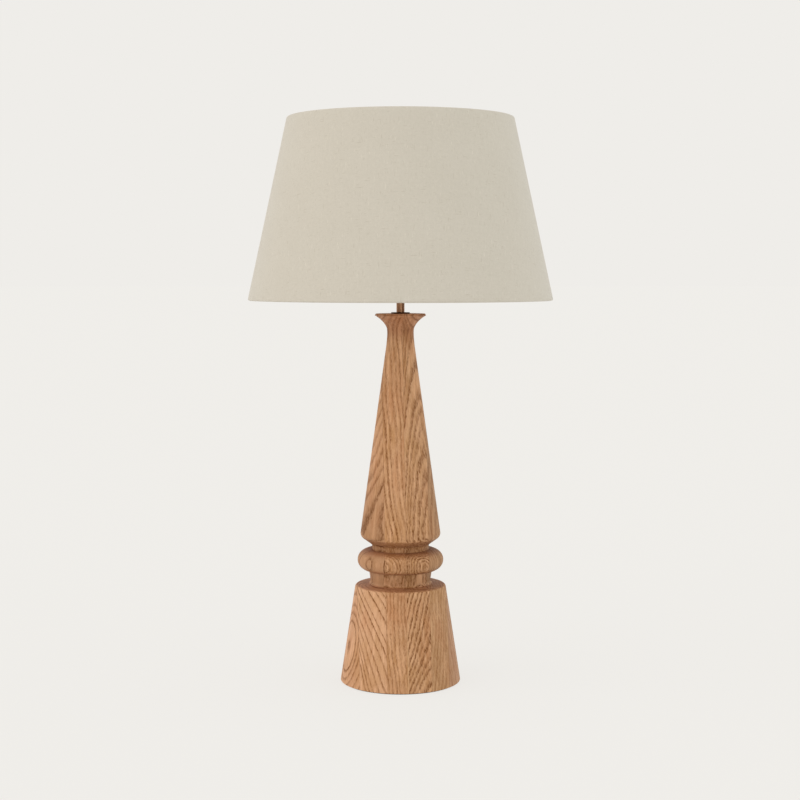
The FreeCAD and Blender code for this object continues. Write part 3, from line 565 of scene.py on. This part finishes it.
def wood(name, seed, light, mid, line, amount=1.0, fine=0.35, wave=0.8, pale_glue=False, side_shade=None, bold=1.0):
    """oiled open-pored ash: light latewood, bands of dark pores along each growth ring"""
    m = Nodes(name)
    P = m.coords()
    off = (seed * 3.1, seed * 1.7, seed * 2.3)
    ring, width, seam = m.attr("ring"), m.attr("ringw"), m.attr("seam")
    # slow sway of the rings, a finer wander of each line, and the flutter of its edge
    sway = m.noise(m.scaled(P, (75, 75, 26), off), detail=1.0)
    wander = m.noise(m.scaled(P, (380, 380, 120), off), detail=1.0)
    flutter = m.noise(m.scaled(P, (900, 900, 300), off), detail=1.0)
    shift = m.add(m.mul(m.sub(sway, 0.5), 2.6 * wave),
                  m.add(m.mul(m.sub(wander, 0.5), 2.3), m.mul(m.sub(flutter, 0.5), 0.9)))
    # the bead and its necks were cut from a calmer piece
    calm = m.ramp(m.math("ABSOLUTE", m.sub(m.split(P)[2], 0.179)), 0.028, 0.036, 0.3, 1.0)
    count = m.add(ring, m.math("DIVIDE", m.mul(shift, calm), width))
    part = m.math("FRACT", count)
    past = m.mul(part, width)                       # mm since the last ring line
    ahead = m.mul(m.sub(1.0, part), width)          # mm to the next one
    which = m.math("FLOOR", m.add(count, 0.5))
    strong = m.ramp(m.white(m.add(which, seed * 7.0)), 0.0, 1.0, 0.6, 1.15, smooth=False)
    late = m.ramp(past, 0.3, 3.5, 1.0, 0.0)
    early = m.ramp(ahead, 0.1, 1.1, 1.0, 0.0)
    band = m.math("MAXIMUM", m.math("POWER", late, 1.25), early)
    band = m.mul(band, strong)
    # a faint second line inside the wide rings
    half = m.math("PINGPONG", m.add(m.mul(count, 2.0), m.mul(wander, 0.8)), 1.0)
    thin = m.mul(m.ramp(half, 0.0, 0.35, 1.0, 0.0), fine)
    # pores: short dark strokes along the grain, crowded in the bands
    clump = m.noise(m.scaled(P, (330, 330, 85), off), detail=1.0, rough=0.6)
    dash = m.noise(m.scaled(P, (850, 850, 240), off), detail=0.0)
    pores = m.noise(m.scaled(P, (1500, 1500, 170), off), detail=1.0)
    pit = m.ramp(dash, 0.36, 0.64)
    loose = m.ramp(pores, 0.58, 0.74)
    dots = m.ramp(clump, 0.34, 0.6, 0.5, 1.0)
    dark = m.math("ADD", m.mul(m.mul(band, dots), m.add(0.55, m.mul(pit, 0.5))), m.mul(loose, 0.26), clamp=True)
    dark = m.math("MAXIMUM", dark, m.mul(thin, m.mul(dots, 0.75)))
    height = m.split(P)[2]
    dark = m.math("MULTIPLY", dark, m.ramp(height, 0.2, 0.25, amount, amount * bold), clamp=True)
    # fibre: fine streaks up the board, slow patches of tone and of hue
    streak = m.noise(m.scaled(P, (520, 520, 9), off), detail=3.0, rough=0.66)
    hair = m.noise(m.scaled(P, (1500, 1500, 60), off), detail=2.0, rough=0.7)
    patch = m.noise(m.scaled(P, (34, 34, 9), off), detail=2.0)
    blotch = m.noise(m.scaled(P, (26, 26, 12), tuple(c + 5.0 for c in off)), detail=2.0, rough=0.6)
    warm = m.math("ADD", m.math("ADD", m.mul(m.ramp(past, 0.4, 9.0, 0.5, 0.0), 1.0),
                                m.mul(m.sub(streak, 0.5), 2.2)),
                  m.add(m.mul(m.sub(patch, 0.5), 1.5), m.mul(m.sub(hair, 0.5), 1.1)), clamp=True)
    base = m.mix(warm, light, mid)
    base = m.mix(m.mul(m.ramp(blotch, 0.48, 0.7), 0.42), base, tuple(a * b for a, b in zip(mid, (0.98, 0.99, 0.80))))
    base = m.mix(m.mul(m.ramp(blotch, 0.52, 0.3), 0.38), base, tuple(a * b for a, b in zip(mid, (1.12, 0.98, 0.98))))
    # pale streaks of clean late wood
    clean = m.noise(m.scaled(P, (150, 150, 5), tuple(c + 9.0 for c in off)), detail=2.0)
    base = m.mix(m.mul(m.ramp(clean, 0.52, 0.66), 0.7), base, tuple(a * b for a, b in zip(light, (1.12, 1.12, 1.13))))
    base = m.mix(dark, base, line)
    # end grain drinks the oil, and painted shade: turned faces that look up or down are darker and redder, standing
    # partly for the shade in the grooves and under the bead and shoulder; the cap and its rim, under the lampshade,
    # are darkened by height as painted shade
    nz = m.math("ABSOLUTE", m.split(m.coords("Normal"))[2])
    end = m.math("MAXIMUM", m.ramp(nz, 0.55, 1.0), m.ramp(height, 0.5462, 0.5494))
    # painted shade beneath the lampshade: the flared cap is darker by height
    end = m.math("MAXIMUM", end, m.ramp(height, 0.505, 0.53, 0.0, 0.85))
    speck = m.noise(m.scaled(P, (1300, 1300, 1300), off), detail=1.0)
    end = m.mul(end, m.ramp(speck, 0.3, 0.7, 0.7, 1.0))
    base = m.mix(m.mul(end, 0.85), base, (0.60, 0.43, 0.36), "MULTIPLY")
    if side_shade:
        # painted shade: a stretch of the board darkened to stand for the shade along the column's sides; board 2 lies
        # at the left side, board 5 at the right
        lo0, lo1, hi0, hi1, tone = side_shade
        shaded_stretch = m.mul(m.ramp(height, lo0, lo1), m.ramp(height, hi0, hi1, 1.0, 0.0))
        shaded_stretch = m.mul(shaded_stretch, m.ramp(blotch, 0.25, 0.6, 0.75, 1.0))
        base = m.mix(shaded_stretch, base, tone, "MULTIPLY")
    # the glue line: a hair of darker glue
    glue = m.ramp(seam, 0.05, 0.3, 1.0, 0.0)
    base = m.mix(m.mul(glue, 0.32), base, tuple(0.6 * c for c in line))
    bump_h = m.add(m.mul(dark, -0.5), m.add(m.mul(pit, m.mul(band, -0.6)), m.mul(streak, 0.25)))
    bump_h = m.sub(bump_h, m.mul(glue, 0.5))
    if pale_glue:
        # squeezed-out glue along one joint near the foot took less oil
        trace = m.mul(m.ramp(m.split(P)[0], 0.018, 0.024, 1.0, 0.0), m.ramp(height, 0.07, 0.1, 1.0, 0.0))
        base = m.mix(m.mul(m.mul(m.ramp(seam, 0.3, 1.2, 1.0, 0.0), trace), 0.7), base, rgb(228, 184, 138))
    normal = m.bump(bump_h, 0.35, 0.00025)
    rough = m.add(m.ramp(streak, 0.3, 0.7, 0.5, 0.6), m.mul(dark, 0.12))
    m.surface({"Base Color": base, "Roughness": rough, "Normal": normal, "Specular IOR Level": 0.2})
    return m.mat


LIGHT, MID, LINE = rgb(212, 165, 127), rgb(184, 133, 91), rgb(128, 80, 38)


def tint(c, k):
    return tuple(a * b for a, b in zip(c, k))


# boards 2 and 5 carry painted side shade; boards 5 and 6, at the right side, are darker overall, partly their own
# tone and partly painted shade on that side
WOODS = [
    wood("ash_board_1", 1, tint(LIGHT, (1.0, 0.97, 0.97)), tint(MID, (1.0, 0.98, 1.0)), LINE, 1.05, 0.1, 0.6),
    wood("ash_board_2", 2, LIGHT, MID, LINE, 1.1, 0.12, 0.9,
         side_shade=(0.145, 0.152, 0.25, 0.36, (0.73, 0.68, 0.61)), bold=0.9),
    wood("ash_board_3", 3, tint(LIGHT, (0.97, 0.96, 0.92)), tint(MID, (0.98, 0.96, 0.9)), LINE, 0.95, 0.5),
    wood("ash_board_4", 4, tint(LIGHT, (0.97, 0.97, 0.93)), tint(MID, (0.96, 0.96, 0.9)), tint(LINE, (0.85, 0.8, 0.7)), 1.12, 0.18, 1.1, True,
         bold=0.82),
    wood("ash_board_5", 5, tint(LIGHT, (0.83, 0.84, 0.78)), tint(MID, (0.84, 0.86, 0.8)), LINE, 0.62, 0.9, 0.4,
         side_shade=(0.149, 0.156, 0.6, 0.7, (0.80, 0.78, 0.76)), bold=1.2),
    wood("ash_board_6", 6, tint(LIGHT, (0.72, 0.71, 0.72)), tint(MID, (0.76, 0.75, 0.8)), LINE, 0.7, 0.5, 0.5),
]
for ob, mat in zip(BOARDS, WOODS):
    ob.data.materials.clear()
    ob.data.materials.append(mat)

# =============================================================================
# the shade: linen over a stiff lining, rolled round two wire rings
# =============================================================================
S_RB, S_ZB, S_RT, S_ZT = 225.0, 571.1, 166.5, 837.9
SLANT = math.hypot(S_RB - S_RT, S_ZT - S_ZB)
S_ANG = math.atan2(S_RB - S_RT, S_ZT - S_ZB)
FABRIC, LINING = 0.7, 0.4
ARMS = [math.radians(a) for a in (30.0, 150.0, 270.0)]
SEAM_AT = math.radians(90.0)      # the overlap is at the back


def on_shade(s, n):
    """slant length from the lower edge and depth inside the outer face -> radius, height"""
    return (S_RB - s * math.sin(S_ANG) - n * math.cos(S_ANG),
            S_ZB + s * math.cos(S_ANG) - n * math.sin(S_ANG))


def shade_path():
    """middle of the linen in (s, n), from the lower turned-in edge round both wires to the upper one"""
    mid = FABRIC / 2
    rc = 1.5 + mid
    cb, ct = (2.2, 2.2), (SLANT - 2.2, 2.2)
    inner = 1.1 + mid

    def turn(c, sign, fold, end):
        # from the outer face round the wire to the fold point, then flat against the lining
        p = (c[0] + sign * (fold - 2.2), inner)
        dx, dy = p[0] - c[0], p[1] - c[1]
        d = math.hypot(dx, dy)
        a = math.acos(rc / d)
        base = math.atan2(dy, dx)
        touch = base + sign * a
        start = -math.pi / 2
        if sign > 0:      # lower edge: the arc runs through s below the wire
            stop = touch
            while stop > start:
                stop -= 2 * math.pi
        else:
            stop = touch
            while stop < start:
                stop += 2 * math.pi
        th = np.linspace(start, stop, 17)
        arc = [(c[0] + rc * math.cos(t), c[1] + rc * math.sin(t)) for t in th]
        q = (c[0] + sign * (end - 2.2), inner)
        line1 = [tuple(np.array(arc[-1]) + (np.array(p) - np.array(arc[-1])) * t) for t in (0.33, 0.66, 1.0)]
        line2 = [tuple(np.array(p) + (np.array(q) - np.array(p)) * t) for t in (0.25, 0.5, 0.75, 1.0)]
        return arc + line1 + line2

    low = turn(cb, 1, 7.6, 13.0)
    top = turn(ct, -1, 7.6, 13.0)
    rows = 40
    face = [(2.2 + (SLANT - 4.4) * i / rows, mid) for i in range(1, rows)]
    return np.array(low[::-1]), np.array(face), np.array(top)


def resample(P, length, n):
    """n + 1 points along the polyline P up to the given length"""
    seg = np.linalg.norm(np.diff(P, axis=0), axis=1)
    acc = np.concatenate([[0], np.cumsum(seg)])
    t = np.linspace(0, min(length, acc[-1]), n + 1)
    return np.stack([np.interp(t, acc, P[:, 0]), np.interp(t, acc, P[:, 1])], 1), acc


def make_linen():
    low, face, top = shade_path()
    low_out = low[::-1]                     # from the outer face inwards
    angles = list(np.linspace(0, 2 * math.pi, 360, endpoint=False) + 0.004)
    for a in ARMS:
        angles += [a + math.radians(x) for x in (-0.95, -0.8, -0.72, -0.66, -0.6, -0.3, 0, 0.3, 0.6, 0.66, 0.72, 0.8,
                                                  0.95)]
    step = SEAM_AT + 0.022
    angles += [step - 0.0008, step - 0.00012, step, step + 0.0006]
    angles = sorted(a % (2 * math.pi) for a in angles)
    keep = [angles[0]]
    for a in angles[1:]:
        if a - keep[-1] > 8e-5:
            keep.append(a)
    angles = np.array(keep)
    full_low = np.linalg.norm(np.diff(low_out, axis=0), axis=1).sum()
    full_top = np.linalg.norm(np.diff(top, axis=0), axis=1).sum()
    cut_at = 5.6                            # arc length past the outer face where an arm's slit starts
    verts, faces, flat, side = [], [], [], []
    cols = len(angles)
    nl = 26
    per = None
    for a in angles:
        away = min(abs((a - x + math.pi) % (2 * math.pi) - math.pi) for x in ARMS) * 222.0
        w1 = 0.45 * float(wobble(a, 5, 9, 3.0))
        w2 = 0.45 * float(wobble(a, 6, 9, 3.0))
        ln = full_low - 0.6 + w1
        if away < 2.6:
            ln = cut_at + (ln - cut_at) * float(smoothstep(away, 2.15, 2.45))
        lp, _ = resample(low_out, ln, nl)
        tp, _ = resample(top, full_top - 0.6 + w2, nl)
        path = np.concatenate([lp[::-1], face, tp])
        # seam: the upper layer comes from one side, lies over the lower one and ends in a cut edge
        rel = (a - step + math.pi) % (2 * math.pi) - math.pi
        lift = 0.0
        if rel <= -1e-6:
            lift = 0.62 * float(smoothstep(rel * 222.0, -13.0, -9.0))
        t = np.diff(path, axis=0)
        t /= np.linalg.norm(t, axis=1)[:, None]
        v = np.empty_like(path)
        v[0], v[-1] = t[0], t[-1]
        v[1:-1] = t[:-1] + t[1:]
        v /= np.linalg.norm(v, axis=1)[:, None]
        nrm = np.stack([v[:, 1], -v[:, 0]], 1)       # towards n < 0, outside, on the face
        m = len(path)
        per = m
        outer = path + nrm * FABRIC / 2
        inner = path - nrm * FABRIC / 2
        # how far a point is over the visible outer side
        cover = np.clip(np.concatenate([np.linspace(0, 1, nl + 1) ** 0.5, np.ones(len(face)),
                                        np.linspace(1, 0, nl + 1) ** 0.5]), 0, 1)
        outer = outer + nrm * (lift * cover)[:, None]
        # hand-stretched cloth: a trace of slackness between the rings
        s_here = np.clip(path[:, 0] / SLANT, 0, 1)
        slack = 0.10 * (np.sin(math.pi * s_here)) * float(wobble(a, 8, 6, 2.0))
        outer[:, 1] -= slack * cover
        inner[:, 1] -= slack * cover * 0.3
        ca, sa = math.cos(a), math.sin(a)
        for q in outer:
            r, z = on_shade(*q)
            verts.append((r * ca, r * sa, z))
        for q in inner:
            r, z = on_shade(*q)
            verts.append((r * ca, r * sa, z))
        # the flat cut: a ring sector about the cone's point, its middle opposite the seam
        beta = ((a - SEAM_AT) % (2 * math.pi) - math.pi) * math.sin(S_ANG)
        dist = S_RB / math.sin(S_ANG)
        seg = np.concatenate([[0], np.cumsum(np.linalg.norm(np.diff(path, axis=0), axis=1))])
        seg = seg - seg[nl] + path[nl, 0]
        R = dist - seg
        for rep in range(2):
            for j in range(m):
                flat.append((R[j] * math.sin(beta) * MM, R[j] * math.cos(beta) * MM, 0))
                side.append(float(a))
    for c in range(cols):
        d = (c + 1) % cols
        A, B = c * 2 * per, d * 2 * per
        for j in range(per - 1):
            faces.append((A + j, B + j, B + j + 1, A + j + 1))
            faces.append((A + per + j + 1, B + per + j + 1, B + per + j, A + per + j))
        faces.append((A, A + per, B + per, B))
        faces.append((A + per - 1, B + per - 1, B + 2 * per - 1, A + 2 * per - 1))
    me = bpy.data.meshes.new("shade_linen")
    me.from_pydata([tuple(v) for v in (np.array(verts) * MM)], [], faces)
    vector_attribute(me, "cut", np.array(flat))
    ob = bpy.data.objects.new("shade_linen", me)
    bpy.context.scene.collection.objects.link(ob)
    bm = bmesh.new()
    bm.from_mesh(me)
    bmesh.ops.recalc_face_normals(bm, faces=bm.faces)
    bm.to_mesh(me)
    bm.free()
    me.polygons.foreach_set("use_smooth", [True] * len(me.polygons))
    sharpen(ob, 50)
    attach(ob, "shade")
    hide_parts("shade_fabric")
    return ob


def make_lining():
    """the white stiff lining, a shell 0.4 mm thick whose joint is at the back, open where the arms pass"""
    l0, l1 = 4.0, SLANT - 4.0
    angles = list(np.linspace(0, 2 * math.pi, 360, endpoint=False) + 0.004)
    for a in ARMS:
        angles += [a + math.radians(x) for x in (-0.7, -0.6, -0.5, 0, 0.5, 0.6, 0.7)]
    angles = np.array(sorted(a % (2 * math.pi) for a in angles))
    rows = 30
    verts, faces = [], []
    for a in angles:
        away = min(abs((a - x + math.pi) % (2 * math.pi) - math.pi) for x in ARMS) * 222.0
        start = l0 + (0.9 * (1 - float(smoothstep(away, 1.9, 2.5))) if away < 2.6 else 0.0)
        ca, sa = math.cos(a), math.sin(a)
        for n in (FABRIC + 0.01, FABRIC + LINING):
            for i in range(rows + 1):
                r, z = on_shade(start + (l1 - start) * i / rows, n)
                verts.append((r * ca, r * sa, z))
    m = rows + 1
    cols = len(angles)
    for c in range(cols):
        d = (c + 1) % cols
        A, B = c * 2 * m, d * 2 * m
        for j in range(rows):
            faces.append((A + j, B + j, B + j + 1, A + j + 1))
            faces.append((A + m + j + 1, B + m + j + 1, B + m + j, A + m + j))
        faces.append((A, A + m, B + m, B))
        faces.append((A + m - 1, B + m - 1, B + 2 * m - 1, A + 2 * m - 1))
    ob = new_object("shade_lining", verts, faces, "shade")
    sharpen(ob, 50)
    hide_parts("shade_liner")
    return ob


LININGOB = make_lining()
LINEN = make_linen()


def linen_material():
    m = Nodes("linen_weave")
    C = m.attr("cut", "Vector")
    x, y, _ = m.split(C)
    pitch = 0.00062
    # threads wander a little, so that the grid is never quite regular
    wob = m.noise(m.scaled(C, (55, 55, 0), (1.3, 4.1, 0)), detail=2.0)
    wob2 = m.noise(m.scaled(C, (420, 420, 0), (7.7, 2.1, 0)), detail=1.0)
    drift = m.add(m.mul(m.sub(wob, 0.5), 0.0016), m.mul(m.sub(wob2, 0.5), 0.00022))
    u = m.math("DIVIDE", m.add(x, drift), pitch)
    v = m.math("DIVIDE", m.sub(y, drift), pitch)
    su = m.math("SINE", m.mul(u, math.pi))
    sv = m.math("SINE", m.mul(v, math.pi))
    over = m.math("MULTIPLY", su, sv)
    warp = m.math("ABSOLUTE", su)
    weft = m.math("ABSOLUTE", sv)
    pick = m.ramp(over, -0.15, 0.15)
    thread = m.add(m.mul(pick, warp), m.mul(m.sub(1.0, pick), weft))
    # every thread has its own tone and thickness
    fu, fv = m.math("FLOOR", m.add(u, 0.5)), m.math("FLOOR", m.add(v, 0.5))
    tu = m.noise(m.join(m.mul(fu, 5.17), m.mul(y, 14.0), 0.0), detail=1.0)
    tv = m.noise(m.join(m.mul(x, 14.0), m.mul(fv, 4.71), 3.0), detail=1.0)
    tone = m.add(m.mul(pick, tu), m.mul(m.sub(1.0, pick), tv))
    # slubs: swollen stretches of single threads
    slub_h = m.noise(m.scaled(C, (80, 760, 0), (3.1, 9.4, 0)), detail=1.0)
    slub_v = m.noise(m.scaled(C, (760, 80, 0), (8.3, 1.7, 0)), detail=1.0)
    sh, sv2 = m.ramp(slub_h, 0.66, 0.76), m.ramp(slub_v, 0.66, 0.76)
    light_h = m.noise(m.scaled(C, (700, 90, 0), (23.1, 5.4, 0)), detail=1.0)
    pale = m.ramp(light_h, 0.66, 0.78)
    husk = m.noise(m.scaled(C, (260, 900, 0), (13.1, 29.4, 0)), detail=1.0)
    dark = m.ramp(husk, 0.76, 0.83)
    cloud = m.noise(m.scaled(C, (16, 16, 0), (2.1, 6.4, 0)), detail=3.0, rough=0.6)
    mott = m.noise(m.scaled(C, (260, 260, 0), (5.1, 1.4, 0)), detail=2.0, rough=0.6)
    a, b = rgb(218, 212, 200), rgb(201, 194, 180)
    base = m.mix(m.math("ADD", m.mul(tone, 0.45), m.mul(m.sub(cloud, 0.28), 0.32), clamp=True), a, b)
    base = m.mix(m.mul(m.sub(mott, 0.3), 0.55), base, rgb(190, 184, 170))
    base = m.mix(m.mul(m.sub(1.0, thread), 0.30), base, rgb(158, 148, 130))
    base = m.mix(m.mul(m.math("MAXIMUM", sh, sv2), 0.42), base, rgb(174, 163, 143))
    base = m.mix(m.mul(pale, 0.5), base, rgb(230, 224, 212))
    base = m.mix(m.mul(dark, 0.45), base, rgb(128, 108, 82))
    h = m.add(m.mul(thread, 0.5), m.add(m.mul(m.math("MAXIMUM", sh, sv2), 0.8), m.mul(tone, 0.25)))
    normal = m.bump(h, 0.5, 0.00016)
    m.surface({"Base Color": base, "Roughness": 0.92, "Normal": normal, "Specular IOR Level": 0.18,
               "Sheen Weight": 0.3, "Sheen Roughness": 0.4})
    return m.mat


LINEN.data.materials.append(linen_material())


def lining_material():
    m = Nodes("shade_lining")
    P = m.coords()
    grain = m.noise(m.scaled(P, (900, 900, 900)), detail=2.0)
    cloud = m.noise(m.scaled(P, (14, 14, 14)), detail=2.0)
    base = m.mix(m.mul(cloud, 0.5), rgb(246, 244, 238), rgb(236, 233, 224))
    m.surface({"Base Color": base, "Roughness": m.ramp(grain, 0.3, 0.7, 0.38, 0.5), "Normal": m.bump(grain, 0.12, 0.0001),
               "Specular IOR Level": 0.4})
    return m.mat


LININGOB.data.materials.append(lining_material())

# =============================================================================
# finishes for the metal, plastic and glass
# =============================================================================


def metal(name, a, b, rough, seed, brushed=(300, 300, 300), bump=0.1, spots=None, aniso=None):
    m = Nodes(name)
    P = m.coords()
    off = (seed * 1.9, seed * 2.7, seed * 0.9)
    big = m.noise(m.scaled(P, (60, 60, 60), off), detail=3.0, rough=0.6)
    fine = m.noise(m.scaled(P, brushed, off), detail=2.0, rough=0.6)
    mixf = m.math("ADD", m.mul(big, 0.6), m.mul(fine, 0.45), clamp=True)
    base = m.mix(m.ramp(mixf, 0.3, 0.72), a, b)
    if spots:
        sp = m.noise(m.scaled(P, (700, 700, 700), off), detail=2.0)
        base = m.mix(m.mul(m.ramp(sp, 0.6, 0.72), spots[1]), base, spots[0])
    m.surface({"Base Color": base, "Metallic": 1.0, "Roughness": m.ramp(mixf, 0.25, 0.8, rough[0], rough[1]),
               "Normal": m.bump(fine, bump, 0.00008)})
    return m.mat


def bronze():
    """antique bronze: dark patina, with light vertical stripes that are painted reflections"""
    m = Nodes("antique_bronze")
    P = m.coords()
    x, y, z = m.split(P)
    big = m.noise(m.scaled(P, (140, 140, 60)), detail=3.0, rough=0.65)
    # painted reflection: light vertical stripes round the tube stand for the studio reflected in the metal
    reflection_stripes = m.noise(m.scaled(P, (430, 430, 7), (0.7, 0.2, 0)), detail=3.0)
    f = m.ramp(m.add(m.mul(big, 0.25), m.mul(reflection_stripes, 0.8)), 0.44, 0.64)
    base = m.mix(f, rgb(84, 50, 32), rgb(196, 152, 118))
    m.surface({"Base Color": base, "Metallic": 1.0, "Roughness": m.ramp(big, 0.3, 0.7, 0.27, 0.4),
               "Normal": m.bump(reflection_stripes, 0.12, 0.00005)})
    return m.mat


def coated(name, a, b, rough=(0.35, 0.5), spec=0.5, orange=900, bump=0.15, seed=1):
    m = Nodes(name)
    P = m.coords()
    off = (seed * 1.3, seed * 0.7, seed * 2.9)
    big = m.noise(m.scaled(P, (45, 45, 45), off), detail=3.0)
    peel = m.noise(m.scaled(P, (orange,) * 3, off), detail=2.0)
    base = m.mix(m.math("ADD", m.mul(big, 0.7), m.mul(m.sub(peel, 0.5), 0.6), clamp=True), a, b)
    m.surface({"Base Color": base, "Roughness": m.ramp(peel, 0.3, 0.7, rough[0], rough[1]),
               "Normal": m.bump(peel, bump, 0.0001), "Specular IOR Level": spec})
    return m.mat


def felt():
    m = Nodes("brown_felt")
    P = m.coords()
    tuft = m.noise(m.scaled(P, (1600, 1600, 1600)), detail=4.0, rough=0.7)
    hair = m.noise(m.scaled(P, (500, 2600, 900)), detail=2.0, distortion=1.5)
    base = m.mix(m.math("ADD", m.mul(tuft, 0.7), m.mul(hair, 0.4), clamp=True), rgb(52, 42, 34), rgb(98, 84, 70))
    m.surface({"Base Color": base, "Roughness": 0.96, "Normal": m.bump(m.add(tuft, hair), 0.6, 0.0003),
               "Specular IOR Level": 0.1, "Sheen Weight": 0.2, "Sheen Roughness": 0.5})
    return m.mat


def glass():
    m = Nodes("clear_glass")
    P = m.coords()
    wavy = m.noise(m.scaled(P, (30, 30, 18)), detail=1.0)
    m.surface({"Base Color": (0.985, 0.985, 0.975, 1), "Roughness": 0.015, "Transmission Weight": 1.0, "IOR": 1.5,
               "Normal": m.bump(wavy, 0.05, 0.0004)})
    return m.mat


BRONZE = bronze()
BRONZE_COLLAR = metal("bronze_collar", rgb(48, 28, 18), rgb(86, 54, 36), (0.34, 0.5), 4, (500, 500, 500), 0.12,
                      (rgb(40, 24, 16), 0.5))
HOLDER = metal("bronze_holder", rgb(92, 58, 38), rgb(140, 98, 68), (0.3, 0.45), 9, (900, 900, 60), 0.1,
               (rgb(56, 34, 22), 0.45))
ZINC = metal("zinc_plate", rgb(172, 174, 176), rgb(212, 213, 212), (0.22, 0.4), 2, (420, 420, 420), 0.15,
             (rgb(140, 140, 138), 0.5))
BRASS = metal("bare_brass", rgb(196, 160, 96), rgb(222, 190, 128), (0.2, 0.36), 3, (700, 700, 700), 0.12,
              (rgb(160, 122, 66), 0.5))
NICKEL = metal("nickel_cap", rgb(190, 190, 186), rgb(224, 222, 216), (0.16, 0.3), 5, (300, 300, 1500), 0.1,
               (rgb(150, 148, 142), 0.4))
STEEL_ROD = metal("rod_steel", rgb(150, 150, 150), rgb(190, 190, 188), (0.28, 0.42), 6, (200, 200, 2500), 0.2,
                  (rgb(96, 92, 88), 0.5))
WHITE_WIRE = coated("white_powder_coat", rgb(240, 238, 232), rgb(228, 225, 216), (0.3, 0.45), 0.5, 1100, 0.25, 1)
BLACK = coated("black_moulding", rgb(32, 29, 27), rgb(46, 42, 39), (0.4, 0.55), 0.45, 1500, 0.2, 2)
BLACK_GLASS = coated("black_vitrite", rgb(16, 16, 19), rgb(28, 28, 31), (0.12, 0.25), 0.6, 400, 0.1, 3)
CERAMIC = coated("white_ceramic", rgb(236, 230, 216), rgb(222, 214, 198), (0.55, 0.75), 0.35, 2200, 0.3, 4)
FILAMENT = coated("filament_phosphor", rgb(236, 176, 62), rgb(214, 148, 40), (0.4, 0.6), 0.4, 2600, 0.3, 5)
FELT = felt()
GLASS = glass()

FINISH = {
    "felt_pad": FELT, "bottom_washer": ZINC, "lock_washer": ZINC, "bottom_nut": ZINC, "threaded_rod": STEEL_ROD,
    "cable_inlet_bush": BLACK, "collar_plate": BRONZE_COLLAR, "spacer_tube": BRONZE, "holder_dome": HOLDER,
    "dome_grub_screw": BRASS, "earth_screw": BRASS, "terminal_block": CERAMIC, "terminal_screws": BRASS,
    "switch_contacts": BRASS, "centre_contact": BRASS, "side_contact": BRASS, "screw_shell": BRASS,
    "insulating_sleeve": BLACK, "holder_skirt": HOLDER, "switch_bar": BRASS, "switch_bridge": BRASS,
    "lower_shade_ring": HOLDER, "upper_shade_ring": HOLDER, "top_wire_ring": WHITE_WIRE,
    "bottom_wire_ring": WHITE_WIRE, "spider_arms": WHITE_WIRE, "fitter_ring": WHITE_WIRE, "bulb_glass": GLASS,
    "bulb_cap": NICKEL, "bulb_cap_insulator": BLACK_GLASS, "bulb_contact": NICKEL, "bulb_stem": GLASS,
    "bulb_filaments": FILAMENT, "bulb_leads": NICKEL,
}
for name, ob in NODES.items():
    mat = FINISH.get(name)
    if mat is None:
        continue
    if not ob.material_slots:
        ob.data.materials.append(mat)
    for s in ob.material_slots:
        s.material = mat

# =============================================================================
# stage, light, camera
# =============================================================================
BACK = rgb(239, 237, 233)


def make_floor():
    verts, faces = [], []
    rings = [0.0, 0.3, 0.6, 1.2, 2.4, 5, 10, 20, 40, 80]
    seg = 48
    verts.append((0, 0, -0.05))
    for r in rings[1:]:
        for s in range(seg):
            a = 2 * math.pi * s / seg
            verts.append((r * 1000 * math.cos(a), r * 1000 * math.sin(a), -0.05))
    for s in range(seg):
        faces.append((0, 1 + s, 1 + (s + 1) % seg))
    for k in range(len(rings) - 2):
        for s in range(seg):
            a, b = 1 + k * seg + s, 1 + k * seg + (s + 1) % seg
            faces.append((a, a + seg, b + seg, b))
    ob = new_object("floor", verts, faces, None)
    m = Nodes("pale_floor")
    P = m.coords()
    n = m.noise(m.scaled(P, (3, 3, 3)), detail=2.0)
    base = m.mix(m.mul(n, 0.3), tuple(c * FLOOR_ALBEDO for c in (1.0, 0.99, 0.97)),
                 tuple(c * FLOOR_ALBEDO * 0.98 for c in (1.0, 0.99, 0.97)))
    d = m.node("ShaderNodeBsdfDiffuse", {"Color": base})
    e = m.node("ShaderNodeEmission", {"Color": BACK + (1,), "Strength": FLOOR_GLOW})
    s = m.node("ShaderNodeAddShader", {0: d.outputs[0], 1: e.outputs[0]})
    m.t.links.new(s.outputs[0], m.out.inputs[0])
    ob.data.materials.append(m.mat)
    return ob


FLOOR_ALBEDO, FLOOR_GLOW = 0.12, 0.866
FLOOR = make_floor()

world = bpy.data.worlds.new("studio")
bpy.context.scene.world = world
world.use_nodes = True
bg = world.node_tree.nodes["Background"]
bg.inputs["Color"].default_value = BACK + (1,)
bg.inputs["Strength"].default_value = 1.0


def sun(name, azimuth, elevation, energy, soft, colour):
    """azimuth from the camera's side, to the right positive"""
    li = bpy.data.lights.new(name, "SUN")
    li.energy, li.angle, li.color = energy, math.radians(soft), colour
    ob = bpy.data.objects.new(name, li)
    bpy.context.scene.collection.objects.link(ob)
    a, e = math.radians(azimuth), math.radians(elevation)
    frm = Vector((math.sin(a) * math.cos(e), -math.cos(a) * math.cos(e), math.sin(e)))
    ob.rotation_mode = "QUATERNION"
    ob.rotation_quaternion = frm.to_track_quat("Z", "Y")
    ob.location = frm * 4
    return ob


sun("key", -64, 30, 0.62, 60, (1.0, 0.965, 0.925))
sun("fill", 78, 24, 0.44, 80, (0.84, 0.96, 1.0))

cam_data = bpy.data.cameras.new("camera")
cam_data.lens, cam_data.sensor_width = 72.0, 36.0
cam = bpy.data.objects.new("camera", cam_data)
bpy.context.scene.collection.objects.link(cam)
cam.location = (-0.0007, -2.3704, 0.6093)
cam.rotation_euler = (math.radians(90 - 4.5), 0, 0)
bpy.context.scene.camera = cam
bpy.context.scene.view_settings.view_transform = "Standard"
bpy.context.scene.view_settings.look = "None"
